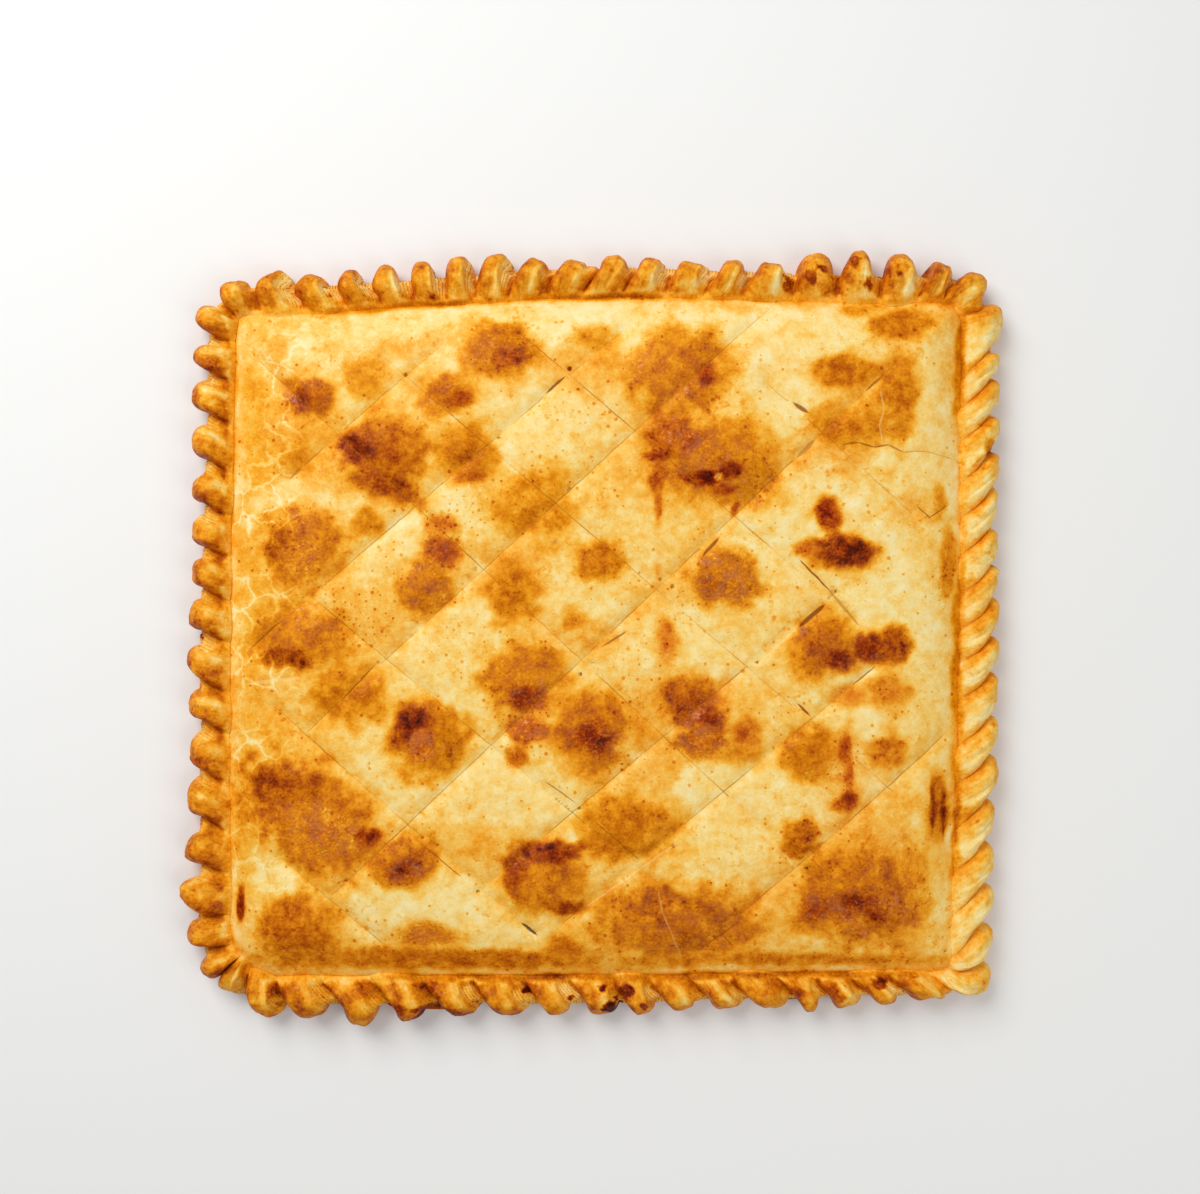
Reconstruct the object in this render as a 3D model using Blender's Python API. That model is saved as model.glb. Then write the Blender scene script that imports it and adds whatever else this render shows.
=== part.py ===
"""A large square turnover pastry, filled and shut: a flat bottom crust, a domed lid scored in
diamonds and blistered by the oven, and a thick rope of folded dough all the way round.

The pastry is one baked piece, so it is one closed solid, lying flat. +Z is up, the origin is
under the middle of it, X runs along its longer side and lengths are in metres.
"""

import math
import random
from dataclasses import dataclass

import bmesh
import bpy
import numpy as np
from mathutils import Vector
from mathutils.geometry import delaunay_2d_cdt

MM = 0.001
NODE_NAME = "pastry"
SEED = 17

# Colour and finish of the baked crust, as one even golden tone.
CRUST_COLOUR = (0.80, 0.47, 0.16, 1.0)
CRUST_ROUGHNESS = 0.48

# The middle of the pastry's outline, in the places measured below, goes to the origin.
MIDDLE = (-0.6 * MM, 0.28 * MM)

# The rope edge. Its width is measured outward from the line where the lid meets it.
ROPE_WIDTH = 21.0 * MM
LOBE_STEPS = 6
LOBE_FULLNESS = 2.4
LOBE_ROUNDNESS = 0.75
RISE_SHARE = 0.4
RISE_JITTER = 1.1 * MM

# The lid.
LID_EDGE_HEIGHT = 12.8 * MM
LID_SHOULDER_HEIGHT = 21.0 * MM
LID_MIDDLE_HEIGHT = 24.6 * MM
SHOULDER_RUN = 13.0 * MM
MIDDLE_RUN = 70.0 * MM
PILLOW_RISE = 1.7 * MM
PILLOW_RUN = 19.0 * MM
CUT_DEPTH = 0.9 * MM
CUT_HALF_WIDTH = 3.0 * MM
BLISTER_SHARPNESS = 1.3
LID_STEP = 8.6 * MM
LID_REACH = 200 * MM
CUT_CLEARANCE = 4.0 * MM
EDGE_CLEARANCE = 5.0 * MM
WELD_GAP = 0.02 * MM

# Smoothness of the line that the rope follows.
CORNER_STEPS = 24
SIDE_STEPS = 120
NORMAL_BLUR = 9


@dataclass(frozen=True)
class Side:
    """One side of the pastry, from its corner to the next one, clockwise as seen from above.

    The corner is where the lid's straight edges would meet. The two widths are the rope's at
    that corner and on the side's middle, as shares of its full width. tips are the lobes'
    places along the side, in millimetres from the corner, and reaches how much further out
    than the rope's usual width each of them comes, in millimetres.
    """

    corner: tuple[float, float]
    radius: float
    bow: float
    corner_width: float
    middle_width: float
    slant: float
    notch: float
    rise: float
    tips: tuple[float, ...]
    reaches: tuple[float, ...]


FAR_SIDE = Side(
    corner=(-168 * MM, 151 * MM), radius=8 * MM, bow=5 * MM, corner_width=0.84,
    middle_width=1.0, slant=4 * MM, notch=1.0, rise=1.0,
    tips=(0, 21, 38, 58, 73, 90, 105, 124, 142, 161, 180, 198, 218, 235, 254, 275, 295, 315,
          333, 354),
    reaches=(0, 3.5, -1, 1.5, 2, 2.5, 4, 3, -1, -2.5, 0, -1.5, -3, -0.5, -2, 5, 7, 5.5, 0.5, 3),
)
RIGHT_SIDE = Side(
    corner=(172 * MM, 159 * MM), radius=12 * MM, bow=1.5 * MM, corner_width=0.88,
    middle_width=0.93, slant=-15 * MM, notch=0.85, rise=0.85,
    tips=(13, 29, 43, 59, 78, 95, 113, 130, 146, 163, 182, 202, 221, 243, 263, 280, 299, 320),
    reaches=(2.5, 0.5, 0.5, 0.5, 0.5, -1.5, -0.5, -0.5, 0.5, 0, 0.5, 1.5, 3, 1.5, 3, 4, 4, 7.5),
)
NEAR_SIDE = Side(
    corner=(169 * MM, -154 * MM), radius=8 * MM, bow=1 * MM, corner_width=0.80,
    middle_width=0.93, slant=-8 * MM, notch=1.1, rise=1.05,
    tips=(10, 28, 46, 63, 82, 103, 122, 141, 160, 181, 203, 226, 249, 272, 297, 319, 341),
    reaches=(-4.5, -1.5, -1, 2, -1, -2.5, -1.5, 0, 0, -0.5, -0.5, -0.5, 2, 5.5, 0, 1, -5),
)
LEFT_SIDE = Side(
    corner=(-169 * MM, -159 * MM), radius=28 * MM, bow=1 * MM, corner_width=0.98,
    middle_width=0.98, slant=4 * MM, notch=1.05, rise=1.15,
    tips=(4, 21, 42, 63, 86, 108, 130, 151, 173, 193, 212, 232, 253, 274, 294, 310),
    reaches=(-0.5, 1, 4.5, 0.5, 0.5, -1, -0.5, 0.5, -0.5, -1.5, 0, 0.5, 2, 2.5, 3, 3),
)
SIDES = (FAR_SIDE, RIGHT_SIDE, NEAR_SIDE, LEFT_SIDE)


@dataclass(frozen=True)
class Ring:
    """One line that runs round the rope: its reach outward and its height, on a lobe's middle
    and in the crease between two lobes."""

    lobe_out: float
    lobe_height: float
    crease_out: float
    crease_height: float


# From the edge of the flat underside, up the outer face and over the rope to the lid.
RINGS = (
    Ring(13.0 * MM, 0.0, 12.0 * MM, 0.0),
    Ring(18.0 * MM, 1.2 * MM, 14.5 * MM, 1.4 * MM),
    Ring(20.4 * MM, 5.0 * MM, 16.2 * MM, 4.6 * MM),
    Ring(21.0 * MM, 9.6 * MM, 16.4 * MM, 8.4 * MM),
    Ring(19.4 * MM, 14.6 * MM, 15.0 * MM, 11.6 * MM),
    Ring(15.4 * MM, 18.4 * MM, 12.4 * MM, 13.8 * MM),
    Ring(9.6 * MM, 19.8 * MM, 8.6 * MM, 14.6 * MM),
    Ring(3.8 * MM, 17.0 * MM, 3.6 * MM, 13.8 * MM),
    Ring(0.0, LID_EDGE_HEIGHT, 0.0, LID_EDGE_HEIGHT),
)


@dataclass(frozen=True)
class Cut:
    """One straight score line across the lid, from one end to the other, in millimetres."""

    start: tuple[float, float]
    end: tuple[float, float]


RISING_CUTS = (
    Cut((-142, 75), (-72, 138)),
    Cut((-161, -6), (14, 146)),
    Cut((-133, -44), (86, 160)),
    Cut((-121, -121), (142, 131)),
    Cut((-53, -119), (113, 22)),
    Cut((-13, -134), (135, -10)),
    Cut((50, -147), (166, -45)),
)
FALLING_CUTS = (
    Cut((-145, -104), (-98, -144)),
    Cut((-149, -33), (-26, -139)),
    Cut((-132, 19), (62, -139)),
    Cut((-158, 130), (144, -146)),
    Cut((-98, 131), (141, -70)),
    Cut((-34, 143), (123, 10)),
    Cut((82, 120), (150, 60)),
)


@dataclass(frozen=True)
class Blister:
    """A bulge that the oven raised in the lid: middle, half-widths and height, millimetres."""

    x: float
    y: float
    half_x: float
    half_y: float
    rise: float


BLISTERS = (
    Blister(-134, 113, 13, 11, 1.6),
    Blister(-44, 136, 18, 14, 2.0),
    Blister(-69, 115, 13, 10, 1.5),
    Blister(41, 126, 24, 21, 2.3),
    Blister(128, 112, 24, 18, 1.5),
    Blister(-100, 84, 22, 18, 2.2),
    Blister(-58, 86, 14, 12, 1.6),
    Blister(57, 86, 32, 23, 2.8),
    Blister(-29, 63, 21, 16, 1.3),
    Blister(-136, 44, 20, 19, 2.2),
    Blister(-78, 24, 14, 12, 1.6),
    Blister(4, 38, 12, 10, 1.2),
    Blister(63, 29, 18, 16, 2.1),
    Blister(-37, 23, 14, 13, 1.2),
    Blister(118, 42, 17, 10, 1.4),
    Blister(109, -4, 17, 14, 1.8),
    Blister(137, -2, 13, 12, 1.4),
    Blister(-137, 0, 24, 16, 1.9),
    Blister(-114, -27, 17, 13, 1.4),
    Blister(-33, -19, 20, 17, 2.1),
    Blister(-76, -46, 19, 18, 2.3),
    Blister(1, -44, 19, 17, 2.1),
    Blister(54, -38, 22, 18, 1.7),
    Blister(102, -53, 15, 12, 1.5),
    Blister(-133, -83, 34, 27, 2.5),
    Blister(-88, -105, 17, 14, 1.7),
    Blister(-21, -112, 24, 19, 2.1),
    Blister(18, -88, 24, 15, 1.9),
    Blister(97, -94, 15, 11, 1.2),
    Blister(126, -118, 31, 26, 2.7),
    Blister(41, -131, 34, 20, 2.2),
    Blister(-137, -138, 20, 15, 1.8),
)


def inner_line():
    """Points along the line where the lid meets the rope, closed and clockwise from the first
    corner, with the index of each corner's middle."""
    points = []
    corners = []
    count = len(SIDES)
    for index, side in enumerate(SIDES):
        here = Vector(side.corner)
        before = Vector(SIDES[index - 1].corner)
        after = Vector(SIDES[(index + 1) % count].corner)
        entry = here + (before - here).normalized() * side.radius
        leave = here + (after - here).normalized() * side.radius
        corners.append(len(points) + CORNER_STEPS // 2)
        for step in range(CORNER_STEPS):
            t = step / CORNER_STEPS
            points.append(entry * (1 - t) ** 2 + here * 2 * t * (1 - t) + leave * t ** 2)
        reach = SIDES[(index + 1) % count].radius
        arrive = after + (here - after).normalized() * reach
        along = (arrive - leave).normalized()
        outward = Vector((-along.y, along.x))
        for step in range(SIDE_STEPS):
            t = step / SIDE_STEPS
            lift = side.bow * math.sin(math.pi * t) ** 2
            points.append(leave.lerp(arrive, t) + outward * lift)
    first = corners[0]
    points = points[first:] + points[:first]
    return np.array(points), [corner - first for corner in corners]


def outward_normals(line):
    """The direction away from the lid at each point of a closed clockwise line."""
    along = np.roll(line, -1, axis=0) - np.roll(line, 1, axis=0)
    for _ in range(NORMAL_BLUR):
        along = (np.roll(along, 1, axis=0) + 2 * along + np.roll(along, -1, axis=0)) / 4
    normals = np.stack([-along[:, 1], along[:, 0]], axis=1)
    return normals / np.linalg.norm(normals, axis=1, keepdims=True)


class RopeLine:
    """The line of the rope, measured along its outer edge, and the lobes spread along it."""

    def __init__(self):
        self.line, corners = inner_line()
        self.normals = outward_normals(self.line)
        outer = self.line + self.normals * ROPE_WIDTH
        steps = np.linalg.norm(np.roll(outer, -1, axis=0) - outer, axis=1)
        self.stations = np.concatenate([[0.0], np.cumsum(steps)[:-1]])
        self.length = steps.sum()
        self.lay_out_lobes(corners)

    def lay_out_lobes(self, corners):
        """Puts each lobe at its place, with the small unevenness of hand-folded dough."""
        dice = random.Random(SEED)
        ends = corners[1:] + [len(self.line)]
        centres = []
        rows = []
        marks = []
        for index, side in enumerate(SIDES):
            following = SIDES[(index + 1) % len(SIDES)]
            corner = np.array(side.corner)
            along = np.array(following.corner) - corner
            along /= np.linalg.norm(along)
            run = slice(corners[index], ends[index])
            outer = self.line[run] + self.normals[run] * ROPE_WIDTH
            places = (outer - corner) @ along
            stations = self.stations[run]
            marks.append((stations[0], side.corner_width))
            marks.append((stations[len(stations) // 2], side.middle_width))
            centres.extend(np.interp(np.array(side.tips) * MM, places, stations))
            for reach in side.reaches:
                lift = dice.uniform(-RISE_JITTER, RISE_JITTER)
                rows.append((side.slant, side.notch, side.rise, reach * MM, lift))
        self.count = len(centres)
        closed = np.array([centres[-1] - self.length] + centres)
        self.creases = (closed[1:] + closed[:-1]) / 2
        self.creases = np.append(self.creases, self.creases[0] + self.length)
        self.width_marks = np.array(marks).T
        self.slant, self.notch, self.rise, self.reach, self.lift = np.array(rows).T

    def at_station(self, station):
        """The point on the inner line and the outward direction at a distance along the rope."""
        pick = {"xp": self.stations, "period": self.length}
        point = [np.interp(station, fp=self.line[:, axis], **pick) for axis in (0, 1)]
        normal = [np.interp(station, fp=self.normals[:, axis], **pick) for axis in (0, 1)]
        return Vector(point), Vector(normal).normalized()

    def lobe_value(self, values, turn):
        """A value given for each lobe, blended smoothly from lobe to lobe."""
        middles = np.arange(self.count) + 0.5
        return float(np.interp(turn, middles, values, period=self.count))

    def surface(self, turn, ring):
        """The point of the rope's surface at a place counted in lobes, on one of the rings."""
        lobe = int(turn) % self.count
        across = turn - int(turn)
        plump = (1 - abs(2 * across - 1) ** LOBE_FULLNESS) ** LOBE_ROUNDNESS
        notch = 1 - (1 - plump) * self.lobe_value(self.notch, turn)
        out = ring.crease_out + (ring.lobe_out - ring.crease_out) * notch
        height = ring.crease_height + (ring.lobe_height - ring.crease_height) * notch
        height *= 1 + (self.lobe_value(self.rise, turn) - 1) * RISE_SHARE
        share = ring.lobe_out / ROPE_WIDTH
        out += self.lobe_value(self.reach, turn) * plump * share
        height += self.lobe_value(self.lift, turn) * plump * min(1, height / ROPE_WIDTH)
        if ring.lobe_out == 0:
            height = LID_EDGE_HEIGHT
        width = self.creases[lobe + 1] - self.creases[lobe]
        station = self.creases[lobe] + across * width
        station += self.lobe_value(self.slant, turn) * (share - 1)
        point, normal = self.at_station(station)
        out *= float(np.interp(station, *self.width_marks, period=self.length))
        place = point + normal * out
        return Vector((place.x, place.y, height))


def ease(share):
    """Rises from 0 to 1 with a level end, for shares clamped to that range."""
    share = np.clip(share, 0.0, 1.0)
    return 1 - (1 - share) ** 2


def cut_distance(cuts, places):
    """The distance of each place from the nearest of the given cuts."""
    nearest = np.full(len(places), np.inf)
    for cut in cuts:
        start = np.array(cut.start) * MM
        run = np.array(cut.end) * MM - start
        share = np.clip((places - start) @ run / (run @ run), 0.0, 1.0)
        gap = np.linalg.norm(places - start - share[:, None] * run, axis=1)
        nearest = np.minimum(nearest, gap)
    return nearest


def edge_distance(line, places):
    """The distance of each place from the line where the lid meets the rope."""
    gaps = np.linalg.norm(places[:, None, :] - line[None, :, :], axis=2)
    return gaps.min(axis=1)


def lid_height(line, places):
    """The height of the lid at each place: dome, pillows between the cuts, cuts, blisters."""
    inward = edge_distance(line, places)
    shoulder = (LID_SHOULDER_HEIGHT - LID_EDGE_HEIGHT) * (1 - np.exp(-inward / SHOULDER_RUN))
    dome = (LID_MIDDLE_HEIGHT - LID_SHOULDER_HEIGHT) * ease(inward / MIDDLE_RUN)
    rising = cut_distance(RISING_CUTS, places)
    falling = cut_distance(FALLING_CUTS, places)
    inner = ease(inward / PILLOW_RUN)
    pillow = PILLOW_RISE * ease(rising / PILLOW_RUN) * ease(falling / PILLOW_RUN) * inner
    valley = np.exp(-((np.minimum(rising, falling) / CUT_HALF_WIDTH) ** 2))
    height = LID_EDGE_HEIGHT + shoulder + dome + pillow - CUT_DEPTH * valley * inner
    for blister in BLISTERS:
        away = (places / MM - (blister.x, blister.y)) / (blister.half_x, blister.half_y)
        round_share = 1 - np.clip((away ** 2).sum(axis=1), 0.0, 1.0)
        height += blister.rise * MM * round_share ** BLISTER_SHARPNESS * inner
    return height


def make_rope(rope):
    """The rope and the outer face below it, as a band that closes on itself."""
    band = bmesh.new()
    around = rope.count * LOBE_STEPS
    across = len(RINGS) - 1
    bmesh.ops.create_grid(band, x_segments=around, y_segments=across, size=1.0)
    for vert in band.verts:
        step = round((vert.co.x + 1) / 2 * around) % around
        ring = RINGS[round((vert.co.y + 1) / 2 * across)]
        vert.co = rope.surface(step / LOBE_STEPS, ring)
    bmesh.ops.remove_doubles(band, verts=band.verts, dist=WELD_GAP)
    return band


def lid_rim(rope):
    """The points of the rope's inmost ring, in order round the lid."""
    around = rope.count * LOBE_STEPS
    return [rope.surface(step / LOBE_STEPS, RINGS[-1]) for step in range(around)]


def lid_grid(line):
    """Evenly spread places on the lid, clear of its edge and of the cuts."""
    reach = np.arange(-LID_REACH, LID_REACH, LID_STEP)
    places = np.array([(x, y) for x in reach for y in reach])
    left, low = line.min(axis=0)
    right, high = line.max(axis=0)
    inside = (places[:, 0] > left) & (places[:, 0] < right)
    inside &= (places[:, 1] > low) & (places[:, 1] < high)
    places = places[inside]
    clear = edge_distance(line, places) > EDGE_CLEARANCE
    clear &= cut_distance(RISING_CUTS + FALLING_CUTS, places) > CUT_CLEARANCE
    return places[clear]


def cut_chain(cut):
    """The places along a cut, from end to end, about one lid step apart."""
    start = Vector(cut.start) * MM
    end = Vector(cut.end) * MM
    steps = max(2, round((end - start).length / LID_STEP))
    return [start.lerp(end, step / steps) for step in range(steps + 1)]


def make_lid(band, rope):
    """Fills the rope's inner edge with the lid, creased along its cuts."""
    rim = lid_rim(rope)
    places = [Vector((point.x, point.y)) for point in rim]
    edges = [(index, (index + 1) % len(rim)) for index in range(len(rim))]
    for cut in RISING_CUTS + FALLING_CUTS:
        chain = cut_chain(cut)
        first = len(places)
        places.extend(chain)
        edges.extend((first + step, first + step + 1) for step in range(len(chain) - 1))
    places.extend(Vector(place) for place in lid_grid(rope.line))
    flat, _, faces, sources, _, _ = delaunay_2d_cdt(places, edges, [], 1, WELD_GAP / 2)
    heights = lid_height(rope.line, np.array(flat))
    for index, origins in enumerate(sources):
        if any(origin < len(rim) for origin in origins):
            heights[index] = LID_EDGE_HEIGHT
    verts = [band.verts.new((*place, height)) for place, height in zip(flat, heights)]
    for face in faces:
        band.faces.new([verts[index] for index in face])
    bmesh.ops.remove_doubles(band, verts=band.verts, dist=WELD_GAP)


def close_underside(band):
    """Fills the lowest ring with the flat underside."""
    rim = [edge for edge in band.edges if edge.is_boundary]
    bmesh.ops.contextual_create(band, geom=rim)


def crust_material():
    """The even golden tone of the baked crust."""
    material = bpy.data.materials.new("golden_crust")
    material.use_nodes = True
    shader = material.node_tree.nodes["Principled BSDF"]
    shader.inputs["Base Color"].default_value = CRUST_COLOUR
    shader.inputs["Roughness"].default_value = CRUST_ROUGHNESS
    shader.inputs["Metallic"].default_value = 0.0
    return material


def make_pastry():
    """Builds the pastry as one closed solid."""
    rope = RopeLine()
    body = make_rope(rope)
    make_lid(body, rope)
    close_underside(body)
    bmesh.ops.translate(body, verts=body.verts, vec=(-MIDDLE[0], -MIDDLE[1], 0.0))
    bmesh.ops.recalc_face_normals(body, faces=body.faces)
    mesh = bpy.data.meshes.new(NODE_NAME)
    body.to_mesh(mesh)
    body.free()
    mesh.shade_smooth()
    mesh.materials.append(crust_material())
    pastry = bpy.data.objects.new(NODE_NAME, mesh)
    bpy.context.scene.collection.objects.link(pastry)
    return pastry


def main():
    for thing in list(bpy.data.objects):
        bpy.data.objects.remove(thing, do_unlink=True)
    make_pastry()


main()
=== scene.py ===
"""Dresses the large square turnover pastry: its blistered lid, its rope of folded dough and its
bottom crust, on a plain pale floor in soft light, seen from straight above.

Places on the pastry are read on a ruler that lies over its top view: the ruler counts to the
right and towards the near side, one of its steps is 0.47 mm, and RULER_MIDDLE is the origin.
"""

import logging
import math
from dataclasses import dataclass, field
from enum import Enum
from typing import Sequence

import bmesh
import bpy
import numpy as np
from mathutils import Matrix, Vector
from mathutils.kdtree import KDTree

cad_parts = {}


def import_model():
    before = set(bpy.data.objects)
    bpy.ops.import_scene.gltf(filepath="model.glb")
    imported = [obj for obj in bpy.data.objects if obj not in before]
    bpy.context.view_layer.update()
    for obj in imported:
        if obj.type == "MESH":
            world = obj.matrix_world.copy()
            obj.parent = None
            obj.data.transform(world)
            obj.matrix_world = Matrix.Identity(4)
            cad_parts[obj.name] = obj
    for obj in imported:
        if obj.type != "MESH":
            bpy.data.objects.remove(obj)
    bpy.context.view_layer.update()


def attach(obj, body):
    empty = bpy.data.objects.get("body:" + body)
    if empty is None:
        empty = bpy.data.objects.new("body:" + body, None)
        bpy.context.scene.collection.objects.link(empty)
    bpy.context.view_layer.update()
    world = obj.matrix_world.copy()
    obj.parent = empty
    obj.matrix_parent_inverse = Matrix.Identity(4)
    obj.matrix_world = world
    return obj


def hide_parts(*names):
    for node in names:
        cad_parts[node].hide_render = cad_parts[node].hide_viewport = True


logging.basicConfig(level=logging.INFO, format="%(message)s")
LOG = logging.getLogger("pastry")

MM = 0.001
SEED = 17
BODY = "root"
NODE = "pastry"

RULER_STEP = 0.47
RULER_MIDDLE = (591.2, 638.4)
LID_STEP = 0.4616
CAMERA_SPOT = (4.1, 19.5)
MIDDLE = (-0.6, 0.28)

ROPE_WIDTH = 21.0
LOBE_FULLNESS = 2.4
LOBE_ROUNDNESS = 0.75
RISE_SHARE = 0.4
RISE_JITTER = 1.1
LID_EDGE_HEIGHT = 12.8
CORNER_STEPS = 24
SIDE_STEPS = 120
NORMAL_BLUR = 9
LID_HALF_SIZE = (168.0, 153.0)

NOISE_CELLS = 65536
HASH_PRIMES = (73856093, 19349663, 83492791)
LAYER_SHIFT = 37.7
FAR_AWAY = 1e9

Array = np.ndarray
Point = tuple[float, float]


class Draw(Enum):
    """What is drawn by lot for each lobe."""

    GAP_WIDTH = 3
    GAP_START = 4
    GAP_DEPTH = 5
    DENT = 6
    TONE = 7
    RIDGE_HIGHLIGHT = 8
    BESIDE_CREASE = 9
    LAP = 11
    HEAD = 12


class Lead(Enum):
    """Which edge of a lobe lies over its neighbour, going clockwise."""

    FIRST = -1
    LAST = 1


@dataclass(frozen=True)
class Side:
    """One side of the pastry, from its corner to the next one, clockwise, in millimetres."""

    name: str
    corner: Point
    radius: float
    bow: float
    corner_width: float
    middle_width: float
    slant: float
    notch: float
    rise: float
    tips: tuple[float, ...]
    reaches: tuple[float, ...]
    lead: Lead
    toast: float
    rim: float
    head: float
    hooks: tuple[float, ...]
    gaps: tuple[float, ...]
    channel_width: float
    sway: float
    channel: tuple[Point, ...]


FAR_SIDE = Side(
    name="far", corner=(-168, 151), radius=8, bow=5, corner_width=0.84, middle_width=1.0,
    slant=4, notch=1.34, rise=1.0,
    tips=(0, 21, 38, 58, 73, 90, 105, 124, 142, 161, 180, 198, 218, 235, 254, 275, 295, 315,
          333, 354),
    reaches=(0, 3.5, -1, 1.5, 2, 2.5, 4, 3, -1, -2.5, 0, -1.5, -3, -0.5, -2, 5, 7, 5.5, 0.5, 3),
    lead=Lead.FIRST, toast=0.46, rim=0.62, head=0.70, sway=0.8,
    hooks=(4, 8, 9, 8, 6, 4, 2, 0, -3, -3, -4, -4, -3, -3, -2, 0, 2, 0, -3, -6),
    gaps=(0.3, 1, 1, 1, 0.9, 1, 0.9, 0.8, 0.6, 0.2, 0.5, 0.8, 0.8, 0.9, 0.8, 0.2, 0.5, 0.6, 0.8,
          0.4),
    channel_width=1.5,
    channel=((240, 0.2), (300, 0.35), (340, 0.5), (370, 0.5), (400, 0.6), (435, 0.76),
             (460, 0.66), (485, 0.45), (520, 0.36), (545, 0.5), (580, 0.68), (640, 0.64),
             (660, 0.45), (700, 0.32), (740, 0.42), (775, 0.32), (800, 0.26), (870, 0.36),
             (940, 0.42)),
)
RIGHT_SIDE = Side(
    name="right", corner=(172, 159), radius=12, bow=1.5, corner_width=0.88, middle_width=0.93,
    slant=-15, notch=0.85, rise=0.85,
    tips=(13, 29, 43, 59, 78, 95, 113, 130, 146, 163, 182, 202, 221, 243, 263, 280, 299, 320),
    reaches=(2.5, 0.5, 0.5, 0.5, 0.5, -1.5, -0.5, -0.5, 0.5, 0, 0.5, 1.5, 3, 1.5, 3, 4, 4, 7.5),
    lead=Lead.FIRST, toast=0.22, rim=0.35, head=0.80, sway=2.4,
    hooks=(0, 0, 0, 0, 0, 0, 0, 0, 0, 0, 0, 0, 0, 0, 0, 2, 4, 4),
    gaps=(0.1, 0.1, 0.1, 0.5, 0.1, 0, 0.1, 0, 0, 0.1, 0, 0.1, 0, 0.1, 0.2, 0.5, 0.6, 0.4),
    channel_width=2.6,
    channel=((300, 0.40), (325, 0.54), (360, 0.60), (395, 0.52), (430, 0.34), (500, 0.30),
             (560, 0.40), (600, 0.52), (650, 0.60), (700, 0.48), (740, 0.34), (775, 0.56),
             (800, 0.70), (830, 0.62), (860, 0.40), (900, 0.24), (950, 0.18)),
)
NEAR_SIDE = Side(
    name="near", corner=(169, -154), radius=8, bow=1, corner_width=0.80, middle_width=0.93,
    slant=-8, notch=1.30, rise=1.05,
    tips=(10, 28, 46, 63, 82, 103, 122, 141, 160, 181, 203, 226, 249, 272, 297, 319, 341),
    reaches=(-4.5, -1.5, -1, 2, -1, -2.5, -1.5, 0, 0, -0.5, -0.5, -0.5, 2, 5.5, 0, 1, -5),
    lead=Lead.LAST, toast=0.45, rim=0.65, head=0.66, sway=0.9,
    hooks=(6, 4, 3, 2, 2, 3, 2, 0, 0, 2, 2, 3, 4, 5, 3, 2, 0),
    gaps=(0.3, 0.8, 0.5, 0.6, 0.5, 0.7, 0.5, 0.9, 0.6, 1, 0.8, 0.9, 0.4, 0.5, 0.9, 0.5, 0.7),
    channel_width=1.2,
    channel=((240, 0.40), (300, 0.36), (380, 0.30), (420, 0.52), (480, 0.62), (560, 0.68),
             (640, 0.55), (700, 0.62), (760, 0.68), (830, 0.60), (880, 0.46), (940, 0.30)),
)
LEFT_SIDE = Side(
    name="left", corner=(-169, -159), radius=28, bow=1, corner_width=0.98, middle_width=0.98,
    slant=4, notch=1.25, rise=1.15,
    tips=(4, 21, 42, 63, 86, 108, 130, 151, 173, 193, 212, 232, 253, 274, 294, 310),
    reaches=(-0.5, 1, 4.5, 0.5, 0.5, -1, -0.5, 0.5, -0.5, -1.5, 0, 0.5, 2, 2.5, 3, 3),
    lead=Lead.FIRST, toast=0.50, rim=0.66, head=0.68, sway=0.6,
    hooks=(0, 0, 0, -2, -3, -2, -2, -2, -2, -3, -3, -2, -2, 0, 0, 0),
    gaps=(0.5, 0.3, 0.6, 0.4, 0.5, 0.65, 0.3, 0.7, 0.5, 0.55, 0.7, 0.7, 0.6, 0.75, 0.7, 0.5),
    channel_width=1.3,
    channel=((330, 0.38), (400, 0.42), (500, 0.36), (600, 0.28), (700, 0.26), (800, 0.32),
             (900, 0.42), (950, 0.36)),
)
SIDES = (FAR_SIDE, RIGHT_SIDE, NEAR_SIDE, LEFT_SIDE)


# Rings round the rope, from under its outer face over it to the lid: reach and height on a
# lobe's middle, then reach and height in a crease, in millimetres.
RINGS = np.array((
    (13.0, 0.3, 12.0, 0.3),
    (18.0, 1.4, 14.5, 1.5),
    (20.4, 5.0, 16.2, 4.6),
    (21.0, 9.6, 16.4, 8.4),
    (19.4, 14.6, 15.0, 11.6),
    (15.4, 18.4, 12.4, 13.8),
    (9.6, 19.8, 8.6, 14.6),
    (3.8, 17.0, 3.6, 13.8),
    (0.0, 12.8, 0.0, 12.8),
))


@dataclass(frozen=True)
class Score:
    """A line in the lid: a cut, an open slit or a crack. The ends are on the ruler.

    depth is how strongly it shows, tone goes from 0, pale, to 1, near black.
    """

    start: Point
    end: Point
    half_width: float = 0.35
    depth: float = 1.0
    tone: float = 0.5


@dataclass(frozen=True)
class Toast:
    """A spot that the oven browned, or left pale. Its middle and half-widths are on the ruler.

    heat goes from 0, pale cream, to 1, burnt. red turns its brown from tan to maroon.
    crumbs roughens it with small grains, feather is how softly it ends.
    """

    x: float
    y: float
    half_x: float
    half_y: float
    heat: float
    red: float = 0.3
    crumbs: float = 0.0
    turn: float = 0.0
    cover: float = 1.0
    feather: float = 0.36


@dataclass(frozen=True)
class Blister:
    """A bulge that the oven raised in the lid: middle, half-widths and height, millimetres."""

    x: float
    y: float
    half_x: float
    half_y: float
    rise: float


@dataclass(frozen=True)
class Pit:
    """A small hole in the lid, on the ruler. tone goes from 0, pale, to 1, near black."""

    x: float
    y: float
    radius: float
    tone: float = 0.8


def on_ruler(x: float, y: float) -> Point:
    """The place in millimetres of a reading on the ruler."""
    return (x - RULER_MIDDLE[0]) * RULER_STEP, (RULER_MIDDLE[1] - y) * RULER_STEP


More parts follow.
